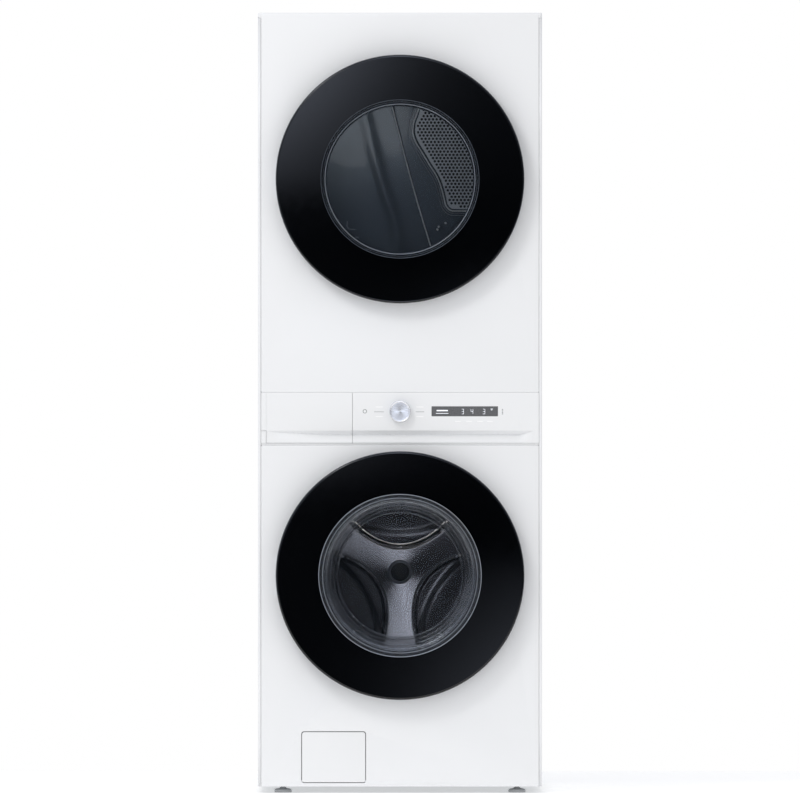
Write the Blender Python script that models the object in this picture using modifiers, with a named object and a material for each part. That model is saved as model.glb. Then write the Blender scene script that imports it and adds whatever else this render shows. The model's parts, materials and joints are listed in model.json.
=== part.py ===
"""Washer and dryer tower: a front-loading washer below, a vented dryer above, one control panel between.

Metres, +Z up. The origin is the middle of the box on the floor, +X is the right side as a user
sees it, and -Y is the front. Turned pieces take their profile as (radius, proud): proud is the
distance in front of the front panels' face, so what lies inside the cabinet has a negative proud.
"""

import math

import bmesh
import bpy
from mathutils import Matrix, Vector

# ---- overall sizes ---------------------------------------------------------------------------
WIDTH = 0.686
CABINET_DEPTH = 0.755
WASHER_FRONT_HEIGHT = 0.8225
DRYER_FRONT_HEIGHT = 0.917
FOOT_HEIGHT = 0.016
DOOR_PROUD = 0.050
DUCT_PROUD = 0.020

# ---- sheet, gaps and clearances --------------------------------------------------------------
SHEET = 0.0010
SEAT_GAP = 0.0003
PANEL_GAP = 0.0008
SIDE_RETURN = 0.0072
BACK_RETURN = 0.014
FRONT_FLANGE = 0.012
COVER_FLANGE = 0.015
PAN_HEIGHT = 0.028
BASE_SHEET = 0.0016

# ---- control panel, drawer and recessed grip -------------------------------------------------
SEAM_HEIGHT = 0.007
CONTROL_HEIGHT = 0.121
GRIP_HEIGHT = 0.026
GRIP_SILL = 0.0035
GRIP_DEPTH = 0.016
GRIP_CEILING = 0.009
GRIP_END = 0.020
GRIP_TAPER = 0.036
FACE_WALL = 0.003
RAIL_DEPTH = 0.024
RAIL_HEIGHT = 0.040
DRAWER_RIGHT_EDGE = -0.1147
DRAWER_TRAVEL_ROOM = 0.30
DRAWER_WALL = 0.0025
DRAWER_HEIGHT = 0.078
HOUSING_CLEARANCE = 0.002
HOUSING_INSET = 0.012
DIVIDERS = (0.36, 0.68)
DIAL_RADIUS = 0.026
DIAL_HEIGHT = 0.020
SPINDLE_RADIUS = 0.003
SPINDLE_LENGTH = 0.018
CONTROL_CENTRE = 0.0768
DISPLAY_LEFT, DISPLAY_RIGHT = 0.0761, 0.2367
DISPLAY_HEIGHT = 0.0242
BOARD_SIZE = (0.300, 0.062)
BOARD_SHEET = 0.0016
BOARD_SETBACK = 0.012

# ---- doors -----------------------------------------------------------------------------------
WASHER_AXIS_HEIGHT = 0.510
DRYER_AXIS_HEIGHT = 0.5145
DOOR_SIDE_MARGIN = 0.043
DOOR_BACK_GAP = 0.012
DOOR_EDGE_TAPER = 0.022
PANE_THICKNESS = 0.005
PANE_RIM = 0.0015
WINDOW_RADIUS = 0.197
FRAME_WALL = 0.003
OPENING_CLEARANCE = 0.015
BOWL_DEPTH = 0.085
BOWL_END_RADIUS = 0.152
BOWL_WALL = 0.004
BOWL_CROWN = 0.007
DRYER_GLASS_DEPTH = 0.033
HINGE_INSET = 0.010
HINGE_PROUD = 0.022
PIN_RADIUS = 0.004
PIN_CLEARANCE = 0.0005
KNUCKLE_RADIUS = 0.0065
HINGE_HALF_HEIGHT = 0.042
EAR_HEIGHT = 0.012
EAR_GAP = 0.001
HINGE_PLATE = 0.003
HINGE_ARM_REACH = 0.062
HOOK_RADIUS_SHARE = 0.82
HOOK_SIZE = (0.008, 0.020)
HOOK_REACH = 0.020
HOOK_ROOM = 0.004
LOCK_WALL = 0.002

# ---- washer: tub, drum and suspension --------------------------------------------------------
TUB_SIDE_GAP = 0.0370
TUB_WALL = 0.004
TUB_FRONT = 0.095
TUB_NECK = 0.025
TUB_SPLIT = 0.32
MOTOR_BAY = 0.135
DRUM_TUB_GAP = 0.017
DRUM_SHEET = 0.0012
DRUM_END_GAP = 0.018
MOUTH_RADIUS = 0.207
DRUM_BACK_THICKNESS = 0.015
LIFTER_HEIGHT = 0.050
LIFTER_WIDTH = 0.060
LIFTER_END_GAP = 0.030
LIFTER_WALL = 0.002
SHAFT_RADIUS = 0.012
SHAFT_CLEARANCE = 0.0008
BEARING_RADIUS = 0.045
BEARING_LENGTH = 0.020
ROTOR_RADIUS = 0.140
ROTOR_WALL = 0.004
ROTOR_LENGTH = 0.034
STATOR_GAP = 0.003
STATOR_BORE = 0.060
WEIGHT_THICKNESS = 0.040
WEIGHT_HALF_ANGLE = 62
GASKET_WALL = 0.0035
GASKET_LIP_GAP = 0.006
SPRING_RADIUS = 0.010
SPRING_WIRE = 0.0015
SPRING_TURNS = 5
SPRING_SIDE_GAP = 0.026
SPRING_LUG_HEIGHT = 0.075
SPRING_LUG = 0.010
DAMPER_RADIUS = 0.014
DAMPER_ROD_RADIUS = 0.006
DAMPER_OFFSET = 0.150
DAMPER_ROD_CLEARANCE = 0.0005
DAMPER_TOP_SHARE = 0.62
CROSSBAR_SIZE = (0.030, 0.006)
CROSSBAR_RISE = 0.008

# ---- washer: drain pump and its hatch --------------------------------------------------------
HATCH_LEFT = -0.2367
HATCH_WIDTH = 0.153
HATCH_BOTTOM = 0.0101
HATCH_HEIGHT = 0.1215
HATCH_THICKNESS = 0.003
HATCH_GAP = 0.0015
HATCH_PIN_RADIUS = 0.002
HATCH_AXIS_INSET = 0.0032
POCKET_DEPTH = 0.070
POCKET_WALL = 0.002
FILTER_RADIUS = 0.034
FILTER_LENGTH = 0.050
FILTER_GRIP = (0.046, 0.010, 0.014)
PUMP_WALL = 0.003

# ---- dryer: drum, bulkheads, drive and air path ----------------------------------------------
DRYER_SIDE_GAP = 0.0200
DRYER_DRUM_FRONT = 0.075
DRYER_REAR_BAY = 0.080
DRYER_LIFTER_HEIGHT = 0.060
BULKHEAD_SHEET = 0.0018
BULKHEAD_DROP = 0.040
COLLAR_RADIUS = 0.300
COLLAR_LENGTH = 0.020
FRONT_BULKHEAD_SETBACK = 0.056
ROLLER_RADIUS = 0.025
ROLLER_WIDTH = 0.020
ROLLER_ANGLE = 32
ROLLER_AXLE_RADIUS = 0.005
ROLLER_CLEARANCE = 0.0004
MOTOR_X = -0.165
MOTOR_RADIUS = 0.058
MOTOR_LENGTH = 0.150
MOTOR_SETBACK = 0.190
MOTOR_SHAFT_RADIUS = 0.006
PULLEY_RADIUS = 0.0125
PULLEY_WIDTH = 0.012
BELT_WIDTH = 0.008
BELT_THICKNESS = 0.002
BELT_GAP = 0.0005
BELT_FACETS = 32
BLOWER_RADIUS = 0.070
BLOWER_LENGTH = 0.045
BLOWER_GAP = 0.006
BLOWER_FRONT = 0.085
BLOWER_WALL = 0.002
MACHINE_BAY_AXIS = 0.088
DUCT_RADIUS = 0.0508
DUCT_WALL = 0.0015
DUCT_X = 0.020
HEATER_BOX = (0.050, 0.300, 0.430)
HEATER_DEPTH = 0.045
LINT_FILTER = (0.150, 0.014, 0.145)
LINT_FILTER_GAP = 0.004
LINT_LIP = 0.006

# ---- services at the back --------------------------------------------------------------------
INLET_SPACING = 0.060
INLET_RADIUS = 0.012
INLET_PROUD = 0.016
SPIGOT_WALL = 0.0035
DRAIN_RADIUS = 0.013
DRAIN_PLACE = (0.240, 0.084)
INLET_BLOCK = (0.110, 0.036, 0.050)
INLET_HEIGHT = 0.735
TERMINAL_BOX = (0.110, 0.012, 0.080)
TERMINAL_PLACE = (-0.230, 0.120)

# ---- facets ----------------------------------------------------------------------------------
LARGE_ROUND = 24
MEDIUM_ROUND = 16
SMALL_ROUND = 12

# ---- levels and planes worked out from the sizes above ---------------------------------------
TOTAL_DEPTH = DOOR_PROUD + CABINET_DEPTH + DUCT_PROUD
FRONT_Y = DOOR_PROUD - TOTAL_DEPTH / 2
BACK_Y = FRONT_Y + CABINET_DEPTH
HALF_WIDTH = WIDTH / 2
FACE_HALF = HALF_WIDTH - SIDE_RETURN - SEAT_GAP
WASHER_TOP = FOOT_HEIGHT + WASHER_FRONT_HEIGHT
CONTROL_BOTTOM = WASHER_TOP + SEAM_HEIGHT
CONTROL_TOP = CONTROL_BOTTOM + CONTROL_HEIGHT
DRYER_BOTTOM = CONTROL_TOP + 2 * PANEL_GAP
TOP = DRYER_BOTTOM + DRYER_FRONT_HEIGHT
WASHER_AXIS_Z = FOOT_HEIGHT + WASHER_AXIS_HEIGHT
DRYER_AXIS_Z = DRYER_BOTTOM + DRYER_AXIS_HEIGHT
CONTROL_Z = CONTROL_BOTTOM + CONTROL_CENTRE
DOOR_RADIUS = HALF_WIDTH - DOOR_SIDE_MARGIN
OPENING_RADIUS = WINDOW_RADIUS + OPENING_CLEARANCE
HINGE_X = -DOOR_RADIUS + HINGE_INSET
TUB_RADIUS = HALF_WIDTH - SHEET - TUB_SIDE_GAP
TUB_BACK = CABINET_DEPTH - MOTOR_BAY
DRUM_RADIUS = TUB_RADIUS - TUB_WALL - DRUM_TUB_GAP
DRUM_FRONT = TUB_FRONT + TUB_WALL + DRUM_END_GAP
DRUM_BACK = TUB_BACK - TUB_WALL - DRUM_END_GAP
DRYER_DRUM_RADIUS = HALF_WIDTH - SHEET - DRYER_SIDE_GAP
DRYER_DRUM_BACK = CABINET_DEPTH - DRYER_REAR_BAY
MACHINE_Z = DRYER_BOTTOM + MACHINE_BAY_AXIS
INNER_FRONT = FRONT_FLANGE + PANEL_GAP

PAINT = {
    "white_enamel": ((0.86, 0.87, 0.88), 0.35, 0.0),
    "white_plastic": ((0.84, 0.85, 0.86), 0.40, 0.0),
    "dial_metal": ((0.83, 0.83, 0.84), 0.25, 0.9),
    "display_glass": ((0.13, 0.13, 0.13), 0.20, 0.0),
    "black_glass": ((0.004, 0.005, 0.007), 0.08, 0.0),
    "clear_glass": ((0.55, 0.60, 0.64), 0.05, 0.0),
    "door_trim": ((0.06, 0.065, 0.07), 0.30, 0.3),
    "grey_rubber": ((0.22, 0.23, 0.25), 0.70, 0.0),
    "black_rubber": ((0.02, 0.02, 0.02), 0.80, 0.0),
    "stainless": ((0.56, 0.57, 0.60), 0.28, 1.0),
    "galvanised": ((0.50, 0.52, 0.53), 0.45, 0.8),
    "tub_plastic": ((0.55, 0.56, 0.57), 0.50, 0.0),
    "concrete": ((0.42, 0.41, 0.39), 0.90, 0.0),
    "steel": ((0.45, 0.45, 0.46), 0.35, 1.0),
    "dark_plastic": ((0.05, 0.055, 0.06), 0.50, 0.0),
    "board_green": ((0.03, 0.16, 0.07), 0.50, 0.0),
    "drum_enamel": ((0.16, 0.18, 0.21), 0.35, 0.2),
}


# ---- scene helpers ---------------------------------------------------------------------------
def clear_scene():
    for old in list(bpy.data.objects):
        bpy.data.objects.remove(old)


def new_collection(name):
    made = bpy.data.collections.new(name)
    bpy.context.scene.collection.children.link(made)
    return made


def material(name):
    found = bpy.data.materials.get(name)
    if found:
        return found
    colour, roughness, metallic = PAINT[name]
    made = bpy.data.materials.new(name)
    made.use_nodes = True
    shader = made.node_tree.nodes["Principled BSDF"]
    shader.inputs["Base Color"].default_value = (*colour, 1)
    shader.inputs["Roughness"].default_value = roughness
    shader.inputs["Metallic"].default_value = metallic
    return made


def add(name, mesh, finish, place=Matrix.Identity(4)):
    """A new sub-part, or a cutter where finish is None."""
    made = bpy.data.objects.new(name, mesh)
    made.matrix_world = place
    if finish is None:
        made.hide_render = True
        made.display_type = "WIRE"
        CUTTERS.objects.link(made)
    else:
        mesh.materials.append(material(finish))
        PARTS.objects.link(made)
    return made


def combine(target, other, operation):
    step = target.modifiers.new(f"{operation.lower()} {other.name}", "BOOLEAN")
    step.operation = operation
    step.object = other
    return target


def cut(target, *cutters):
    for cutter in cutters:
        combine(target, cutter, "DIFFERENCE")
    return target


def join(target, *others):
    for other in others:
        combine(target, other, "UNION")
    return target


def facing_front(x, z):
    """Local Z points out of the front, local Y up, and the origin is on the front panels' face."""
    return Matrix.Translation((x, FRONT_Y, z)) @ Matrix.Rotation(math.radians(90), 4, "X")


def standing(x, y, z):
    return Matrix.Translation((x, y, z))


# ---- shape helpers ---------------------------------------------------------------------------
def block(name, x, y, z, finish=None):
    """A box between the two values of x, of y and of z, with its origin in its middle."""
    mesh = bpy.data.meshes.new(name)
    form = bmesh.new()
    bmesh.ops.create_cube(form, size=1)
    size = [abs(pair[1] - pair[0]) for pair in (x, y, z)]
    bmesh.ops.scale(form, vec=size, verts=form.verts)
    form.to_mesh(mesh)
    form.free()
    middle = Vector((sum(x) / 2, sum(y) / 2, sum(z) / 2))
    return add(name, mesh, finish, Matrix.Translation(middle))


def tray(name, x, y, z, open_side, wall, finish=None):
    """A box with one side left off."""
    return hollow(block(name, x, y, z, finish), open_side, wall)


def hollow(made, open_side, wall):
    """Leaves one side off a solid and makes walls that grow inwards from the others."""
    form = bmesh.new()
    form.from_mesh(made.data)
    gone = max(form.faces, key=lambda face: face.normal.dot(Vector(open_side)))
    bmesh.ops.delete(form, geom=[gone], context="FACES_ONLY")
    form.to_mesh(made.data)
    form.free()
    shell = made.modifiers.new("wall", "SOLIDIFY")
    shell.thickness = wall
    shell.offset = -1
    shell.use_even_offset = True
    return made


def proud(distance):
    """World Y at a distance in front of the front panels' face."""
    return FRONT_Y - distance


def span(front, back):
    return (proud(front), proud(back))


def turned(name, profile, place, finish=None, facets=LARGE_ROUND):
    """A solid of revolution about local Z. profile is (radius, height) points: a closed outline
    clear of the axis, or an outline that starts and ends on it."""
    on_axis = profile[0][0] == 0
    area = sum(
        a[0] * b[1] - b[0] * a[1] for a, b in zip(profile, profile[1:] + profile[:1])
    )
    ordered = profile if area < 0 else profile[::-1]
    mesh = bpy.data.meshes.new(name)
    count = len(ordered)
    edges = [(i, (i + 1) % count) for i in range(count - 1 if on_axis else count)]
    mesh.from_pydata([(r, 0, h) for r, h in ordered], edges, [])
    made = add(name, mesh, finish, place)
    spin = made.modifiers.new("turn", "SCREW")
    spin.steps = spin.render_steps = facets
    spin.use_merge_vertices = True
    spin.merge_threshold = 0.00001
    spin.use_smooth_shade = False
    return made


def rod(name, radius, low, high, place, finish=None, facets=SMALL_ROUND):
    return turned(name, [(0, high), (radius, high), (radius, low), (0, low)], place, finish, facets)


def ring(name, inner, outer, low, high, place, finish=None, facets=LARGE_ROUND):
    outline = [(inner, high), (outer, high), (outer, low), (inner, low)]
    return turned(name, outline, place, finish, facets)


def prism(name, outline, low, high, place, finish=None):
    """A flat outline extruded along local Z."""
    mesh = bpy.data.meshes.new(name)
    form = bmesh.new()
    face = form.faces.new([form.verts.new((u, v, low)) for u, v in outline])
    raised = bmesh.ops.extrude_face_region(form, geom=[face])["geom"]
    lifted = [item for item in raised if isinstance(item, bmesh.types.BMVert)]
    bmesh.ops.translate(form, vec=(0, 0, high - low), verts=lifted)
    bmesh.ops.recalc_face_normals(form, faces=form.faces)
    form.to_mesh(mesh)
    form.free()
    return add(name, mesh, finish, place)


def pierced(name, outlines, low, high, place, finish=None):
    """A flat outline with holes, the outlines after the first, extruded along local Z."""
    curve = bpy.data.curves.new(name, "CURVE")
    curve.dimensions = "2D"
    curve.fill_mode = "BOTH"
    curve.extrude = (high - low) / 2
    for outline in outlines:
        spline = curve.splines.new("POLY")
        spline.points.add(len(outline) - 1)
        for point, (u, v) in zip(spline.points, outline):
            point.co = (u, v, 0, 1)
        spline.use_cyclic_u = True
    drawn = bpy.data.objects.new(name + "_outline", curve)
    bpy.context.scene.collection.objects.link(drawn)
    graph = bpy.context.evaluated_depsgraph_get()
    mesh = bpy.data.meshes.new_from_object(drawn.evaluated_get(graph))
    bpy.data.objects.remove(drawn)
    bpy.data.curves.remove(curve)
    form = bmesh.new()
    form.from_mesh(mesh)
    bmesh.ops.remove_doubles(form, verts=form.verts, dist=0.00001)
    bmesh.ops.recalc_face_normals(form, faces=form.faces)
    form.to_mesh(mesh)
    form.free()
    mesh.name = name
    return add(name, mesh, finish, place @ Matrix.Translation((0, 0, (low + high) / 2)))


def circle(radius, facets, centre=(0, 0), start=0.0, turn=2 * math.pi):
    """Points round a circle or, with a smaller turn, along an arc with both its ends."""
    steps = facets if turn == 2 * math.pi else facets - 1
    angles = [start + turn * i / steps for i in range(facets)]
    return [(centre[0] + radius * math.cos(a), centre[1] + radius * math.sin(a)) for a in angles]


def around(radius, facets, centre, start, turn):
    """An arc whose flats, and not its corners, are at the radius."""
    return circle(radius / math.cos(turn / (facets - 1) / 2), facets, centre, start, turn)


def rectangle(u, v):
    return [(u[0], v[0]), (u[1], v[0]), (u[1], v[1]), (u[0], v[1])]


def body(name, place):
    """An empty on a joint's axis, which the pieces of that body hang on."""
    made = bpy.data.objects.new(name, None)
    made.location = place
    PARTS.objects.link(made)
    return made


def hang(parent, *pieces):
    bpy.context.view_layer.update()
    for piece in pieces:
        piece.parent = parent
        piece.matrix_parent_inverse = parent.matrix_world.inverted()


# ---- cabinet ---------------------------------------------------------------------------------
def foot_places():
    inset = 0.060
    return {
        f"foot_{end}_{side}": (sx * (HALF_WIDTH - inset), y)
        for side, sx in (("left", -1), ("right", 1))
        for end, y in (("front", FRONT_Y + inset), ("rear", BACK_Y - inset))
    }


def make_feet():
    pad_radius, stud_radius, stud_top = 0.021, 0.005, FOOT_HEIGHT + 0.022
    shoulder = FOOT_HEIGHT - SEAT_GAP
    outline = [
        (0, stud_top),
        (stud_radius, stud_top),
        (stud_radius, shoulder),
        (0.013, shoulder),
        (0.013, 0.009),
        (pad_radius, 0.007),
        (pad_radius, 0),
        (0, 0),
    ]
    cutters = []
    for name, (x, y) in foot_places().items():
        turned(name, outline, standing(x, y, 0), "black_rubber", SMALL_ROUND)
        hole = rod(name + "_hole", stud_radius + PANEL_GAP, 0, stud_top, standing(x, y, 0))
        cutters.append(hole)
    return cutters


def make_cabinet(foot_holes):
    inner = HALF_WIDTH - SHEET - SEAT_GAP
    pan = tray(
        "base_pan",
        (-inner, inner),
        (FRONT_Y + INNER_FRONT, BACK_Y - 2 * SHEET - 2 * SEAT_GAP),
        (FOOT_HEIGHT, FOOT_HEIGHT + PAN_HEIGHT),
        (0, 0, 1),
        BASE_SHEET,
        "galvanised",
    )
    pump_x, pump_z = pump_reach(POCKET_WALL + SEAT_GAP)
    notch = block(
        "pan_pump_notch",
        pump_x,
        span(0, -INNER_FRONT - 4 * BASE_SHEET),
        (pump_z[0], FOOT_HEIGHT + 2 * PAN_HEIGHT),
    )
    cut(pan, notch, *foot_holes)

    strip_y, rear_y = FRONT_Y + SHEET, BACK_Y
    for side, sign in (("left", -1), ("right", 1)):
        channel = [
            (HALF_WIDTH - SIDE_RETURN, strip_y),
            (HALF_WIDTH, strip_y),
            (HALF_WIDTH, rear_y),
            (HALF_WIDTH - BACK_RETURN, rear_y),
            (HALF_WIDTH - BACK_RETURN, rear_y - SHEET),
            (HALF_WIDTH - SHEET, rear_y - SHEET),
            (HALF_WIDTH - SHEET, strip_y + SHEET),
            (HALF_WIDTH - SIDE_RETURN, strip_y + SHEET),
        ]
        outline = [(sign * x, y) for x, y in channel]
        prism(
            f"side_panel_{side}",
            outline,
            FOOT_HEIGHT,
            TOP - SHEET - SEAT_GAP,
            Matrix.Identity(4),
            "white_enamel",
        )

    cover = block(
        "top_cover",
        (-HALF_WIDTH, HALF_WIDTH),
        (FRONT_Y + SHEET, BACK_Y),
        (TOP - SHEET, TOP),
        "white_enamel",
    )
    flange = inner - PANEL_GAP
    flange_y = (FRONT_Y + INNER_FRONT, BACK_Y - SIDE_RETURN - BACK_RETURN)
    for side, sign in (("left", -1), ("right", 1)):
        strip = block(
            f"cover_flange_{side}",
            (sign * flange, sign * (flange - SHEET)),
            flange_y,
            (TOP - COVER_FLANGE, TOP - SHEET / 2),
        )
        join(cover, strip)


def front_panel(name, bottom, top, axis_z):
    """A pressed front with its edges turned back and a lip round the door's opening."""
    panel = tray(
        name,
        (-FACE_HALF, FACE_HALF),
        span(0, -FRONT_FLANGE),
        (bottom, top),
        (0, 1, 0),
        SHEET,
        "white_enamel",
    )
    place = facing_front(0, axis_z)
    cut(panel, rod(name + "_opening", OPENING_RADIUS, -0.02, 0.02, place, facets=LARGE_ROUND))
    lip = ring(
        name + "_lip", OPENING_RADIUS, OPENING_RADIUS + SHEET, -FRONT_FLANGE, -SHEET / 2, place
    )
    hook_x = OPENING_RADIUS + (DOOR_RADIUS - OPENING_RADIUS) / 2
    slot = block(
        name + "_latch_slot",
        (hook_x - HOOK_SIZE[0] / 2 - HOOK_ROOM, hook_x + HOOK_SIZE[0] / 2 + HOOK_ROOM),
        span(0.01, -FRONT_FLANGE + SHEET),
        (axis_z - HOOK_SIZE[1] / 2 - HOOK_ROOM, axis_z + HOOK_SIZE[1] / 2 + HOOK_ROOM),
    )
    join(panel, lip)
    return cut(panel, slot)


def make_fronts():
    washer = front_panel("washer_front_panel", FOOT_HEIGHT, WASHER_TOP, WASHER_AXIS_Z)
    hatch_z = FOOT_HEIGHT + HATCH_BOTTOM
    window = block(
        "hatch_window",
        (HATCH_LEFT - HATCH_GAP, HATCH_LEFT + HATCH_WIDTH + HATCH_GAP),
        span(0.01, -FRONT_FLANGE / 2),
        (hatch_z - HATCH_GAP, hatch_z + HATCH_HEIGHT + HATCH_GAP),
    )
    cut(washer, window)
    front_panel("dryer_front_panel", DRYER_BOTTOM, TOP - 2 * SHEET, DRYER_AXIS_Z)


def back_plate(name, bottom, top, holes):
    half = HALF_WIDTH - BACK_RETURN + 0.006
    outline = rectangle((-half, half), (bottom, top))
    face = CABINET_DEPTH - SHEET - SEAT_GAP
    return pierced(
        name, [outline, *holes], -face, -face + SHEET, facing_front(0, 0), "galvanised"
    )


def make_backs():
    inlets = [
        circle(INLET_RADIUS + PANEL_GAP, SMALL_ROUND, (x, FOOT_HEIGHT + INLET_HEIGHT))
        for x in (-INLET_SPACING / 2, INLET_SPACING / 2)
    ]
    lower = back_plate("washer_back_panel", FOOT_HEIGHT + PANEL_GAP, CONTROL_TOP, inlets)
    drain = turned(
        "drain_stub",
        spigot(-CABINET_DEPTH + 1.5 * SHEET + SEAT_GAP, DRAIN_RADIUS),
        facing_front(DRAIN_PLACE[0], FOOT_HEIGHT + DRAIN_PLACE[1]),
        facets=SMALL_ROUND,
    )
    join(lower, drain)
    duct = circle(DUCT_RADIUS + PANEL_GAP, LARGE_ROUND, (DUCT_X, MACHINE_Z))
    rear = back_plate("dryer_back_panel", DRYER_BOTTOM, TOP - COVER_FLANGE - 2 * SHEET, [duct])
    x, z = TERMINAL_PLACE[0], DRYER_BOTTOM + TERMINAL_PLACE[1]
    cover = block(
        "terminal_cover",
        (x - TERMINAL_BOX[0] / 2, x + TERMINAL_BOX[0] / 2),
        (BACK_Y - 2 * SHEET, BACK_Y + TERMINAL_BOX[1]),
        (z - TERMINAL_BOX[2] / 2, z + TERMINAL_BOX[2] / 2),
    )
    join(rear, cover)


def make_frames():
    inner = HALF_WIDTH - SHEET - SEAT_GAP
    back = BACK_Y - 2 * SHEET - 2 * SEAT_GAP
    tray(
        "dryer_base_pan",
        (-inner, inner),
        (FRONT_Y + INNER_FRONT, back),
        (DRYER_BOTTOM, DRYER_BOTTOM + PAN_HEIGHT),
        (0, 0, 1),
        BASE_SHEET,
        "galvanised",
    )
    middle = spring_y()
    block(
        "spring_crossbar",
        (-inner, inner),
        (middle - CROSSBAR_SIZE[0] / 2, middle + CROSSBAR_SIZE[0] / 2),
        (WASHER_TOP + CROSSBAR_RISE, WASHER_TOP + CROSSBAR_RISE + CROSSBAR_SIZE[1]),
        "galvanised",
    )


# ---- control panel and drawer ----------------------------------------------------------------
def grip_groove(name):
    """The scooped finger groove along the bottom of the control panel, with slanted ends."""
    sill = CONTROL_BOTTOM + GRIP_SILL
    ceiling = sill + GRIP_HEIGHT
    outside = 0.010
    outline = [
        (-outside, ceiling),
        (GRIP_DEPTH, ceiling - SHEET),
        (GRIP_DEPTH, ceiling - GRIP_CEILING),
        (FACE_WALL, sill),
        (-outside, sill),
    ]
    place = Matrix(((0, 0, 1, 0), (1, 0, 0, FRONT_Y), (0, 1, 0, 0), (0, 0, 0, 1)))
    reach = HALF_WIDTH - GRIP_END
    groove = prism(name, outline, -reach, reach, place)
    for point in groove.data.vertices:
        depth = point.co.x / GRIP_DEPTH
        point.co.z -= math.copysign(GRIP_TAPER * depth, point.co.z)
    return groove


def control_slab(name, left, right):
    """One length of the control panel: a thin face above and a deep rail round the grip."""
    slab = block(
        name, (left, right), span(0, -RAIL_DEPTH), (CONTROL_BOTTOM, CONTROL_TOP), "white_plastic"
    )
    hollow = block(
        name + "_hollow",
        (left + FACE_WALL, right - FACE_WALL),
        span(-FACE_WALL, -2 * RAIL_DEPTH),
        (CONTROL_BOTTOM + RAIL_HEIGHT, CONTROL_TOP - FACE_WALL),
    )
    return cut(slab, hollow, grip_groove(name + "_groove"))


def drawer_opening(name, gap):
    """What the drawer front takes out of the control panel, larger by gap all round."""
    low = CONTROL_BOTTOM + GRIP_SILL
    reach = HALF_WIDTH - GRIP_END
    deep = span(0.02, -2 * RAIL_DEPTH)
    upper = block(
        name + "_upper",
        (-HALF_WIDTH, DRAWER_RIGHT_EDGE + gap),
        deep,
        (low + GRIP_HEIGHT - gap, CONTROL_TOP + 0.01),
    )
    lower = block(
        name + "_lower",
        (-reach - gap, DRAWER_RIGHT_EDGE + gap),
        deep,
        (low - gap, low + GRIP_HEIGHT + 0.01),
    )
    return upper, lower


def make_controls():
    fascia = control_slab("control_fascia", -FACE_HALF, FACE_HALF)
    cut(fascia, *drawer_opening("fascia_drawer_opening", PANEL_GAP / 2))
    rib_z = (CONTROL_BOTTOM + RAIL_HEIGHT - FACE_WALL, CONTROL_TOP)
    rib_left = DRAWER_RIGHT_EDGE + PANEL_GAP / 2
    join(
        fascia,
        block("fascia_rib", (rib_left, rib_left + FACE_WALL), span(-0.001, -RAIL_DEPTH), rib_z),
    )
    screen = (DISPLAY_LEFT, DISPLAY_RIGHT), (
        CONTROL_Z - DISPLAY_HEIGHT / 2,
        CONTROL_Z + DISPLAY_HEIGHT / 2,
    )
    window = [(low - SEAT_GAP, high + SEAT_GAP) for low, high in screen]
    dial_place = facing_front(0, CONTROL_Z)
    cut(
        fascia,
        block("display_cutout", window[0], span(0.01, -RAIL_DEPTH / 2), window[1]),
        rod("spindle_hole", SPINDLE_RADIUS + PANEL_GAP, -RAIL_DEPTH / 2, 0.01, dial_place),
    )
    block("display_window", screen[0], span(0.0001, -FACE_WALL), screen[1], "display_glass")

    board_left = DRAWER_RIGHT_EDGE + 0.020
    board = block(
        "control_board",
        (board_left, board_left + BOARD_SIZE[0]),
        span(-BOARD_SETBACK - SPINDLE_LENGTH / 2, -BOARD_SETBACK - SPINDLE_LENGTH / 2 - BOARD_SHEET),
        (CONTROL_TOP - FACE_WALL - PANEL_GAP - BOARD_SIZE[1], CONTROL_TOP - FACE_WALL - PANEL_GAP),
        "board_green",
    )
    behind = BOARD_SETBACK + SPINDLE_LENGTH / 2
    for i, (x, size) in enumerate(((0.060, 0.030), (0.150, 0.022), (0.240, 0.036))):
        chip = block(
            f"board_chip_{i}",
            (board_left + x - size / 2, board_left + x + size / 2),
            span(-behind - BOARD_SHEET / 2, -behind - 0.012),
            (CONTROL_Z - size / 3, CONTROL_Z + size / 3),
        )
        join(board, chip)

    edge = 0.0015
    knob = turned(
        "dial_knob",
        [
            (0, DIAL_HEIGHT - edge),
            (DIAL_RADIUS - 3 * edge, DIAL_HEIGHT - edge),
            (DIAL_RADIUS - edge, DIAL_HEIGHT),
            (DIAL_RADIUS, DIAL_HEIGHT - edge),
            (DIAL_RADIUS, SEAT_GAP),
            (SPINDLE_RADIUS, SEAT_GAP),
            (SPINDLE_RADIUS, -SPINDLE_LENGTH),
            (0, -SPINDLE_LENGTH),
        ],
        dial_place,
        "dial_metal",
        MEDIUM_ROUND,
    )
    hang(body("dial", (0, FRONT_Y, CONTROL_Z)), knob)


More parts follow.
